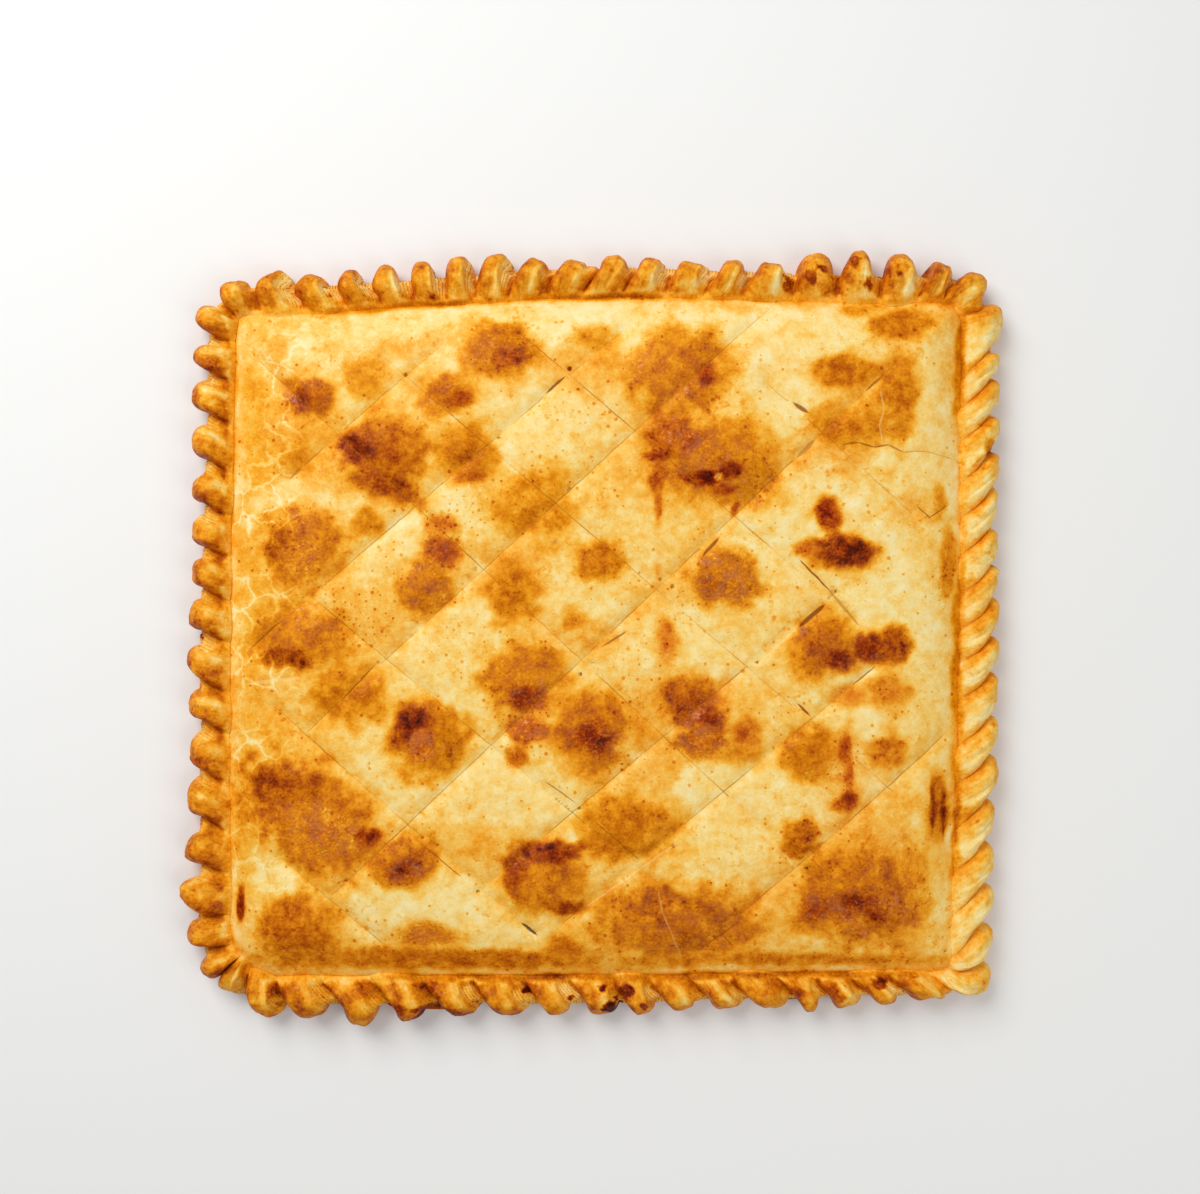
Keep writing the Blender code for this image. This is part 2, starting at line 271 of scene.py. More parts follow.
def to_ruler(place: Point) -> Point:
    """Turns a place on the part into a reading on the ruler.

    Args:
        place: The place, in the part's own millimetres.

    Returns:
        The reading across and the reading down.
    """
    x = (place[0] - MIDDLE[0]) / RULER_STEP + RULER_MIDDLE[0]
    y = RULER_MIDDLE[1] - (place[1] - MIDDLE[1]) / RULER_STEP
    return x, y


def on_lid(x: float, y: float) -> Point:
    """Finds the place of a reading on the lid, which stands nearer to the eye.

    Args:
        x: The reading across.
        y: The reading down.

    Returns:
        The place, in millimetres.
    """
    place = on_ruler(x, y)
    share = LID_STEP / RULER_STEP
    return tuple(spot + (at - spot) * share for spot, at in zip(CAMERA_SPOT, place))


# The two sets of cuts that score the lid in diamonds, in the part's millimetres.
RISING_CUTS = (
    ((-142, 75), (-72, 138)), ((-161, -6), (14, 146)), ((-133, -44), (86, 160)),
    ((-121, -121), (142, 131)), ((-53, -119), (113, 22)), ((-13, -134), (135, -10)),
    ((50, -147), (166, -45)),
)
FALLING_CUTS = (
    ((-145, -104), (-98, -144)), ((-149, -33), (-26, -139)), ((-132, 19), (62, -139)),
    ((-158, 130), (144, -146)), ((-98, 131), (141, -70)), ((-34, 143), (123, 10)),
    ((82, 120), (150, 60)),
)

# Slits and cracks that run the same two ways, on the ruler.
RISING_SLITS = (
    Score((546, 393), (562, 378), 0.6, 1.0, 0.75),
    Score((797, 455), (812, 440), 0.9, 0.9, 0.35),
    Score((703, 554), (717, 538), 0.7, 1.0, 0.70),
    Score((800, 624), (823, 604), 1.0, 1.0, 0.78),
    Score((605, 645), (625, 632), 0.5, 0.9, 0.6),
    Score((290, 480), (300, 470), 0.6, 0.8, 0.45),
    Score((250, 650), (280, 624), 0.35, 0.9, 0.6),
    Score((345, 700), (374, 668), 0.3, 0.9, 0.66),
    Score((865, 388), (880, 375), 0.5, 0.9, 0.6),
    Score((854, 682), (874, 665), 0.35, 0.9, 0.6),
    Score((702, 951), (741, 921), 0.28, 0.8, 0.66),
    Score((843, 443), (857, 441), 0.35, 0.9, 0.6), Score((857, 441), (872, 446), 0.4, 0.9, 0.6),
    Score((872, 446), (886, 443), 0.35, 0.9, 0.6), Score((886, 443), (901, 450), 0.35, 0.8, 0.55),
    Score((901, 450), (926, 449), 0.3, 0.5, 0.5), Score((926, 449), (955, 456), 0.3, 0.4, 0.5),
    Score((248, 686), (300, 680), 0.9, 0.35, 0.0),
    Score((590, 905), (680, 840), 0.5, 0.30, 0.0),
    Score((755, 665), (797, 625), 0.5, 0.30, 0.0),
    Score((930, 515), (948, 503), 0.3, 0.8, 0.66),
)
FALLING_SLITS = (
    Score((793, 403), (805, 411), 0.9, 1.0, 0.66),
    Score((525, 925), (538, 935), 0.7, 1.0, 1.0),
    Score((800, 560), (828, 588), 0.4, 1.0, 0.72),
    Score((828, 588), (857, 622), 0.6, 0.8, 0.3),
    Score((799, 703), (809, 713), 0.5, 1.0, 0.75),
    Score((425, 845), (462, 876), 0.28, 0.8, 0.6),
    Score((548, 782), (575, 801), 0.3, 0.8, 0.55),
    Score((596, 820), (640, 858), 0.28, 0.8, 0.55),
    Score((725, 935), (735, 945), 0.25, 0.8, 0.66),
    Score((878, 390), (881, 408), 0.35, 0.36, 0.0), Score((881, 408), (877, 424), 0.35, 0.36, 0.0),
    Score((877, 424), (880, 440), 0.35, 0.36, 0.0),
    Score((660, 890), (664, 910), 0.35, 0.3, 0.1), Score((664, 910), (673, 930), 0.35, 0.3, 0.1),
    Score((673, 930), (684, 958), 0.35, 0.3, 0.1),
    Score((735, 800), (800, 868), 0.5, 0.25, 0.0),
    Score((918, 505), (930, 515), 0.3, 0.8, 0.66),
)

PITS = (
    Pit(404, 376, 1.05, 0.51), Pit(568, 369, 1.18, 0.77), Pit(498, 439, 0.87, 0.30),
    Pit(568, 490, 0.93, 0.21), Pit(555, 543, 0.93, 0.21), Pit(476, 570, 0.87, 0.21),
    Pit(672, 586, 1.05, 0.38), Pit(581, 674, 0.93, 0.81), Pit(593, 663, 0.62, 0.85),
    Pit(757, 661, 0.87, 0.34), Pit(581, 808, 0.93, 0.34), Pit(480, 892, 0.93, 0.34),
    Pit(808, 866, 0.87, 0.81), Pit(884, 876, 0.56, 0.85), Pit(835, 590, 0.93, 0.34),
    Pit(348, 882, 0.93, 0.47), Pit(313, 599, 0.56, 0.59), Pit(260, 962, 0.50, 0.68),
    Pit(951, 952, 0.74, 0.68), Pit(956, 929, 0.68, 0.59), Pit(717, 477, 0.74, 0.17),
)

BLISTERS = (
    Blister(-134, 113, 13, 11, 1.6), Blister(-44, 136, 18, 14, 2.0),
    Blister(-69, 115, 13, 10, 1.5), Blister(41, 126, 24, 21, 2.3),
    Blister(128, 112, 24, 18, 1.5), Blister(-100, 84, 22, 18, 2.2),
    Blister(-58, 86, 14, 12, 1.6), Blister(57, 86, 32, 23, 2.8),
    Blister(-29, 63, 21, 16, 1.3), Blister(-136, 44, 20, 19, 2.2),
    Blister(-78, 24, 14, 12, 1.6), Blister(4, 38, 12, 10, 1.2),
    Blister(63, 29, 18, 16, 2.1), Blister(-37, 23, 14, 13, 1.2),
    Blister(118, 42, 17, 10, 1.4), Blister(109, -4, 17, 14, 1.8),
    Blister(137, -2, 13, 12, 1.4), Blister(-137, 0, 24, 16, 1.9),
    Blister(-114, -27, 17, 13, 1.4), Blister(-33, -19, 20, 17, 2.1),
    Blister(-76, -46, 19, 18, 2.3), Blister(1, -44, 19, 17, 2.1),
    Blister(54, -38, 22, 18, 1.7), Blister(102, -53, 15, 12, 1.5),
    Blister(-133, -83, 34, 27, 2.5), Blister(-88, -105, 17, 14, 1.7),
    Blister(-21, -112, 24, 19, 2.1), Blister(18, -88, 24, 15, 1.9),
    Blister(97, -94, 15, 11, 1.2), Blister(126, -118, 31, 26, 2.7),
    Blister(41, -131, 34, 20, 2.2), Blister(-137, -138, 20, 15, 1.8),
)

# Broad washes of gold and cream under the spots.
WASHES = (
    Toast(590, 322, 330, 24, 0.04, 0.1, cover=0.95),
    Toast(775, 320, 40, 16, 0.06, 0.0, cover=0.8),
    Toast(250, 430, 20, 110, 0.37, 0.0, cover=0.6),
    Toast(252, 630, 20, 90, 0.37, 0.0, cover=0.6),
    Toast(250, 830, 20, 110, 0.39, 0.1, cover=0.7),
    Toast(290, 735, 36, 20, 0.34, 0.2, cover=0.6),
    Toast(352, 598, 30, 24, 0.28, 0.3, cover=0.7),
    Toast(342, 470, 20, 24, 0.28, 0.1, cover=0.6),
    Toast(915, 508, 42, 26, 0.26, 0.5, cover=0.8),
    Toast(487, 728, 14, 32, 0.14, 0.2, cover=0.6),
    Toast(820, 600, 40, 40, 0.24, 0.6, cover=0.5),
    Toast(622, 532, 62, 46, 0.07, 0.2, cover=0.85),
    Toast(700, 620, 30, 26, 0.08, 0.2, cover=0.7),
    Toast(520, 420, 90, 40, 0.14, 0.2, cover=0.6),
    Toast(640, 560, 80, 60, 0.18, 0.2, cover=0.6),
    Toast(880, 590, 60, 60, 0.10, 0.1, cover=0.8),
    Toast(925, 690, 40, 110, 0.12, 0.1, cover=0.7),
    Toast(760, 620, 50, 40, 0.16, 0.2, cover=0.6),
    Toast(480, 800, 110, 40, 0.12, 0.2, cover=0.8),
    Toast(430, 900, 90, 24, 0.10, 0.1, cover=0.8),
    Toast(700, 850, 60, 40, 0.16, 0.2, cover=0.7),
    Toast(760, 800, 40, 60, 0.14, 0.2, cover=0.7),
    Toast(940, 900, 26, 60, 0.12, 0.1, cover=0.7),
    Toast(330, 760, 60, 24, 0.18, 0.2, cover=0.7),
    Toast(560, 900, 40, 60, 0.20, 0.2, cover=0.5),
    Toast(930, 400, 22, 90, 0.14, 0.1, cover=0.7),
    Toast(620, 460, 40, 60, 0.28, 0.5, cover=0.5),
    Toast(380, 630, 50, 50, 0.30, 0.5, cover=0.5),
    Toast(620, 700, 60, 60, 0.26, 0.4, cover=0.4),
    Toast(780, 700, 40, 60, 0.28, 0.4, cover=0.4),
)

SPOTS = (
    Toast(308, 398, 29, 23, 0.60, 0.40, 0.4), Toast(302, 402, 12, 12, 0.69, 0.60, 0.5),
    Toast(362, 380, 21, 20, 0.50, 0.20), Toast(498, 350, 37, 31, 0.58, 0.30, 0.3),
    Toast(508, 358, 17, 12, 0.70, 0.65, 0.4), Toast(447, 398, 29, 22, 0.58, 0.35, 0.3),
    Toast(460, 402, 11, 10, 0.72, 0.70), Toast(595, 340, 21, 13, 0.43, 0.20),
    Toast(680, 370, 53, 47, 0.55, 0.35, 0.4), Toast(703, 375, 12, 11, 0.72, 0.75, 0.4),
    Toast(902, 322, 32, 17, 0.56, 0.30), Toast(865, 305, 26, 8, 0.42, 0.20),
    Toast(840, 370, 30, 18, 0.58, 0.25), Toast(895, 398, 21, 46, 0.56, 0.30),
    Toast(850, 425, 40, 24, 0.50, 0.25), Toast(384, 457, 46, 42, 0.60, 0.35),
    Toast(386, 484, 44, 15, 0.68, 0.40, 0.2, turn=-26), Toast(358, 452, 20, 18, 0.81, 0.55, 0.3),
    Toast(468, 455, 29, 28, 0.54, 0.20), Toast(468, 476, 16, 8, 0.60, 0.50),
    Toast(298, 455, 26, 19, 0.43, 0.25), Toast(711, 462, 66, 42, 0.58, 0.30, 0.6),
    Toast(668, 430, 26, 26, 0.58, 0.50), Toast(656, 456, 15, 5, 0.74, 0.70),
    Toast(657, 478, 9, 15, 0.63, 0.60), Toast(657, 506, 4, 18, 0.48, 0.70),
    Toast(657, 570, 4, 38, 0.28, 0.80, cover=0.7, feather=0.9),
    Toast(748, 478, 24, 24, 0.58, 0.04, cover=0.8),
    Toast(690, 440, 16, 16, 0.66, 0.75, 0.9),
    Toast(706, 478, 24, 8, 0.82, 0.80), Toast(728, 470, 13, 8, 0.78, 0.60),
    Toast(722, 489, 13, 6, 0.74, 0.75),
    Toast(717, 477, 4, 4, 0.40, 0.40), Toast(734, 509, 4, 9, 0.60, 0.80, turn=-20),
    Toast(532, 508, 44, 36, 0.49, 0.15), Toast(303, 550, 41, 39, 0.60, 0.28, 0.3),
    Toast(279, 552, 14, 30, 0.70, 0.25), Toast(303, 560, 20, 18, 0.52, 0.45, 1.0),
    Toast(367, 527, 15, 15, 0.50, 0.20), Toast(443, 553, 21, 19, 0.66, 0.75, 0.6),
    Toast(443, 525, 16, 12, 0.46, 0.80), Toast(427, 590, 29, 27, 0.59, 0.28, 0.6),
    Toast(600, 561, 25, 20, 0.58, 0.22), Toast(727, 580, 37, 31, 0.62, 0.30, 1.0),
    Toast(513, 593, 26, 31, 0.54, 0.18), Toast(573, 617, 13, 12, 0.46, 0.35),
    Toast(843, 550, 34, 19, 0.82, 0.55, 0.3), Toast(803, 549, 14, 8, 0.58, 0.75),
    Toast(827, 513, 15, 18, 0.66, 0.75), Toast(826, 645, 37, 32, 0.62, 0.30, 0.3),
    Toast(835, 658, 17, 11, 0.79, 0.60, 0.4), Toast(888, 643, 24, 22, 0.66, 0.40),
    Toast(868, 643, 16, 15, 0.76, 0.60, 0.4), Toast(299, 638, 52, 36, 0.56, 0.25, 0.4),
    Toast(288, 660, 27, 12, 0.72, 0.35), Toast(350, 697, 36, 28, 0.53, 0.15),
    Toast(525, 680, 42, 36, 0.56, 0.25, 0.4), Toast(527, 698, 22, 15, 0.74, 0.70, 0.8),
    Toast(530, 728, 22, 15, 0.60, 0.80, 1.0), Toast(519, 756, 11, 11, 0.50, 0.60),
    Toast(430, 738, 41, 40, 0.60, 0.25, 0.2), Toast(414, 728, 20, 22, 0.80, 0.65, 0.3),
    Toast(424, 745, 15, 17, 0.60, 0.70, 1.0), Toast(452, 746, 16, 24, 0.54, 0.05),
    Toast(595, 732, 41, 38, 0.62, 0.30, 0.3), Toast(593, 735, 23, 20, 0.80, 0.75, 0.9),
    Toast(692, 702, 32, 24, 0.66, 0.45, 0.3), Toast(705, 716, 24, 16, 0.72, 0.60, 0.6),
    Toast(702, 741, 28, 18, 0.60, 0.60, 1.0), Toast(745, 732, 16, 19, 0.54, 0.65),
    Toast(738, 753, 26, 10, 0.48, 0.30), Toast(811, 753, 31, 27, 0.55, 0.18),
    Toast(848, 775, 20, 44, 0.36, 0.70, cover=0.7, feather=0.7),
    Toast(845, 746, 7, 15, 0.60, 0.80), Toast(849, 772, 5, 20, 0.58, 0.85),
    Toast(849, 798, 12, 11, 0.66, 0.70), Toast(838, 802, 8, 7, 0.56, 0.60),
    Toast(886, 748, 22, 17, 0.54, 0.45), Toast(308, 813, 82, 49, 0.61, 0.42, 0.3, turn=-36),
    Toast(288, 784, 44, 17, 0.70, 0.25), Toast(322, 830, 38, 26, 0.56, 0.50, 1.0, turn=-30),
    Toast(372, 838, 13, 10, 0.78, 0.75), Toast(405, 862, 35, 28, 0.60, 0.35, 0.3),
    Toast(405, 866, 18, 15, 0.72, 0.60, 0.9), Toast(550, 880, 41, 35, 0.55, 0.28, 0.2),
    Toast(550, 852, 44, 12, 0.76, 0.55, 0.3), Toast(518, 872, 12, 26, 0.72, 0.50, 0.3),
    Toast(567, 906, 25, 9, 0.70, 0.45), Toast(600, 840, 26, 8, 0.74, 0.65, turn=15),
    Toast(630, 828, 49, 33, 0.56, 0.18), Toast(800, 838, 19, 21, 0.64, 0.30),
    Toast(863, 893, 64, 54, 0.60, 0.34, 0.3), Toast(816, 906, 19, 13, 0.74, 0.60, 0.8),
    Toast(858, 902, 26, 14, 0.76, 0.60, 0.8), Toast(878, 912, 15, 10, 0.74, 0.60, 0.5),
    Toast(682, 924, 82, 42, 0.61, 0.32, 0.4), Toast(570, 948, 19, 13, 0.58, 0.40),
    Toast(665, 640, 11, 22, 0.46, 0.80), Toast(887, 690, 26, 15, 0.48, 0.50),
    Toast(848, 694, 24, 12, 0.36, 0.60), Toast(941, 808, 13, 30, 0.62, 0.25),
    Toast(935, 806, 3, 25, 0.84, 0.50), Toast(947, 814, 3, 24, 0.82, 0.45),
    Toast(241, 908, 5, 18, 0.78, 0.70),
    Toast(300, 932, 41, 37, 0.60, 0.35), Toast(430, 962, 172, 13, 0.58, 0.35),
    Toast(430, 936, 32, 14, 0.50, 0.45, 0.8), Toast(950, 556, 9, 36, 0.50, 0.30),
    Toast(775, 960, 180, 7, 0.50, 0.35), Toast(941, 500, 7, 20, 0.46, 0.20),
)


# Where small bubbles burst close together: middle, half-widths and share, on the ruler.
SPECK_FIELDS = (
    (360, 620, 34, 34, 0.95), (385, 590, 26, 20, 0.6), (520, 725, 34, 42, 0.8),
    (443, 530, 22, 22, 0.9), (575, 412, 40, 20, 0.55), (611, 497, 16, 14, 0.5),
    (846, 770, 16, 48, 0.8), (320, 825, 60, 30, 0.5), (470, 500, 34, 50, 0.5),
    (700, 735, 40, 30, 0.5), (860, 505, 26, 30, 0.5), (560, 470, 50, 30, 0.35),
    (650, 590, 50, 60, 0.3), (480, 640, 60, 60, 0.25), (620, 790, 60, 30, 0.25),
    (400, 860, 40, 30, 0.4), (690, 600, 20, 60, 0.4), (880, 880, 50, 40, 0.4),
    (640, 915, 60, 30, 0.3), (300, 560, 40, 40, 0.4), (510, 350, 40, 30, 0.4),
    (640, 680, 30, 60, 0.4),
)


class DoughNoise:
    """Smooth seeded noise over places in the plane or in space, from -1 to 1."""

    def __init__(self, seed: int) -> None:
        """Draws the lattice of the noise."""
        self.values = np.random.default_rng(seed).uniform(-1, 1, NOISE_CELLS)

    def at(self, places: Array, size: float, shift: float = 0.0) -> Array:
        """One layer of noise.

        Args:
            places: Rows of two or three coordinates, in millimetres.
            size: The width of a lump of the noise, in millimetres.
            shift: How far the noise is moved, so that it differs from another one.

        Returns:
            A value for each row.
        """
        scaled = (places + shift) / size
        cell = np.floor(scaled).astype(np.int64)
        share = scaled - cell
        share = share * share * (3 - 2 * share)
        total = np.zeros(len(places))
        for corner in range(2 ** places.shape[1]):
            weight = np.ones(len(places))
            key = np.zeros(len(places), np.int64)
            for axis, prime in zip(range(places.shape[1]), HASH_PRIMES):
                step = corner >> axis & 1
                weight *= share[:, axis] if step else 1 - share[:, axis]
                key ^= (cell[:, axis] + step) * prime
            total += weight * self.values[(key ^ key >> 13) & (NOISE_CELLS - 1)]
        return total

    def layers(self, places: Array, size: float, count: int = 4, shift: float = 0.0) -> Array:
        """Several layers of noise, each half the size and strength of the last.

        Args:
            places: Rows of coordinates, in millimetres.
            size: The width of the largest lumps, in millimetres.
            count: How many layers.
            shift: How far the noise is moved, so that it differs from another one.

        Returns:
            A value for each row, mostly within -1 to 1.
        """
        total = np.zeros(len(places))
        for layer in range(count):
            moved = places + shift + LAYER_SHIFT * layer
            total += self.at(moved, size / 2 ** layer) / 2 ** layer
        return total


def smooth_step(low: float, high: float, value: Array) -> Array:
    """Rises softly from 0 at low to 1 at high, or falls if high is less than low."""
    share = np.clip((value - low) / (high - low), 0.0, 1.0)
    return share * share * (3 - 2 * share)


def ease(share: Array) -> Array:
    """Rises from 0 to 1 with a level end, for shares clamped to that range."""
    share = np.clip(share, 0.0, 1.0)
    return 1 - (1 - share) ** 2


def inner_line() -> tuple[Array, list[int]]:
    """The line where the lid meets the rope.

    Returns:
        Its points, closed and clockwise from the first corner, and the index of each corner.
    """
    points = []
    corners = []
    for index, side in enumerate(SIDES):
        here = Vector(side.corner)
        before = Vector(SIDES[index - 1].corner)
        after = Vector(SIDES[(index + 1) % len(SIDES)].corner)
        entry = here + (before - here).normalized() * side.radius
        leave = here + (after - here).normalized() * side.radius
        corners.append(len(points) + CORNER_STEPS // 2)
        for step in range(CORNER_STEPS):
            t = step / CORNER_STEPS
            points.append(entry * (1 - t) ** 2 + here * 2 * t * (1 - t) + leave * t ** 2)
        reach = SIDES[(index + 1) % len(SIDES)].radius
        arrive = after + (here - after).normalized() * reach
        along = (arrive - leave).normalized()
        outward = Vector((-along.y, along.x))
        for step in range(SIDE_STEPS):
            t = step / SIDE_STEPS
            lift = side.bow * math.sin(math.pi * t) ** 2
            points.append(leave.lerp(arrive, t) + outward * lift)
    first = corners[0]
    line = np.array(points[first:] + points[:first]) - np.array(MIDDLE)
    return line, [corner - first for corner in corners]


class RopeLine:
    """The line that the rope follows, measured along its outer edge, with its lobes."""

    def __init__(self) -> None:
        """Lays out the line and spreads the lobes along it."""
        self.line, self.corners = inner_line()
        along = np.roll(self.line, -1, axis=0) - np.roll(self.line, 1, axis=0)
        for _ in range(NORMAL_BLUR):
            along = (np.roll(along, 1, axis=0) + 2 * along + np.roll(along, -1, axis=0)) / 4
        normals = np.stack([-along[:, 1], along[:, 0]], axis=1)
        self.normals = normals / np.linalg.norm(normals, axis=1, keepdims=True)
        outer = self.line + self.normals * ROPE_WIDTH
        steps = np.linalg.norm(np.roll(outer, -1, axis=0) - outer, axis=1)
        self.stations = np.concatenate([[0.0], np.cumsum(steps)[:-1]])
        self.length = float(steps.sum())
        self.lay_out_lobes(outer)

    def lay_out_lobes(self, outer: Array) -> None:
        """Puts each lobe at its place along the rope.

        Args:
            outer: The points of the rope's outer line.
        """
        dice = np.random.default_rng(SEED)
        ends = self.corners[1:] + [len(self.line)]
        centres: list[float] = []
        rows = []
        marks = []
        self.first_lobe: list[int] = []
        for index, side in enumerate(SIDES):
            corner = np.array(side.corner) - np.array(MIDDLE)
            after = np.array(SIDES[(index + 1) % len(SIDES)].corner) - np.array(MIDDLE)
            along = (after - corner) / np.linalg.norm(after - corner)
            run = slice(self.corners[index], ends[index])
            places = (outer[run] - corner) @ along
            stations = self.stations[run]
            marks.append((stations[0], side.corner_width))
            marks.append((stations[len(stations) // 2], side.middle_width))
            self.first_lobe.append(len(centres))
            centres.extend(np.interp(np.array(side.tips), places, stations))
            for reach, hook, gap in zip(side.reaches, side.hooks, side.gaps, strict=True):
                lift = dice.uniform(-RISE_JITTER, RISE_JITTER)
                rows.append((side.slant, side.notch, side.rise, reach, lift, side.toast, side.rim,
                             side.head, hook, gap, side.lead.value))
        self.count = len(centres)
        closed = np.array([centres[-1] - self.length] + centres)
        creases = (closed[1:] + closed[:-1]) / 2
        self.creases = np.append(creases, creases[0] + self.length)
        self.width_marks = np.array(marks).T
        (self.slant, self.notch, self.rise, self.reach, self.lift, self.toast, self.rim,
         self.head, self.hook, self.gap, self.lead) = np.array(rows).T

    def blend(self, values: Array, turn: Array) -> Array:
        """A value given for each lobe, blended smoothly from lobe to lobe."""
        return np.interp(turn, np.arange(self.count) + 0.5, values, period=self.count)

    def place(self, station: Array, out: Array) -> Array:
        """The places at distances along the rope and outward from the inner line.

        Args:
            station: Distances along the rope's outer line, in millimetres.
            out: Distances outward from the inner line, in millimetres.

        Returns:
            Rows of x and y, in millimetres.
        """
        station = station % self.length
        pick = {"xp": self.stations, "period": self.length}
        points = [np.interp(station, fp=self.line[:, axis], **pick) for axis in (0, 1)]
        normals = [np.interp(station, fp=self.normals[:, axis], **pick) for axis in (0, 1)]
        points, normals = np.array(points).T, np.array(normals).T
        normals /= np.linalg.norm(normals, axis=1, keepdims=True)
        width = np.interp(station, *self.width_marks, period=self.length)
        return points + normals * (out * width)[:, None]


def beside_line(places: Array, score: Score) -> tuple[Array, Array, Array, float]:
    """Measures places against a score on the lid.

    Args:
        places: Rows of x and y, in millimetres.
        score: The score.

    Returns:
        How far each place lies along it, across it and past its ends, and the score's length.
    """
    start = np.array(on_lid(*score.start))
    run = np.array(on_lid(*score.end)) - start
    length = math.hypot(*run)
    along = (places - start) @ run / length
    across = (places - start) @ np.array([-run[1], run[0]]) / length
    past = np.maximum(0, np.maximum(-along, along - length))
    return along, across, past, length


def write_values(mesh: bpy.types.Mesh, name: str, columns: Sequence[Array]) -> None:
    """Stores three values for each vertex, for the materials to read.

    Args:
        mesh: The finished mesh.
        name: The name that the materials ask for.
        columns: The three values, each with one number for each vertex.
    """
    values = np.stack(columns, axis=1).astype(np.float32)
    layer = mesh.attributes.new(name, "FLOAT_VECTOR", "POINT")
    layer.data.foreach_set("vector", values.ravel())


def move_verts(body: bmesh.types.BMesh, places: Array) -> None:
    """Puts each vertex of a bmesh at its place, given in millimetres."""
    for vert, place in zip(body.verts, (places * MM).tolist()):
        vert.co = place


def finish_piece(body: bmesh.types.BMesh, name: str,
                 material: bpy.types.Material) -> bpy.types.Object:
    """Turns a bmesh into a finished, smooth piece of the pastry.

    Args:
        body: The bmesh, which is freed.
        name: The piece's name.
        material: Its finish.

    Returns:
        The new object, which rides with the pastry and stands for its solid.
    """
    mesh = bpy.data.meshes.new(name)
    body.to_mesh(mesh)
    body.free()
    mesh.shade_smooth()
    mesh.materials.append(material)
    piece = bpy.data.objects.new(name, mesh)
    bpy.context.scene.collection.objects.link(piece)
    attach(piece, BODY)
    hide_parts(NODE)
    LOG.info("%s: %d vertices, %d faces", name, len(mesh.vertices), len(mesh.polygons))
    return piece


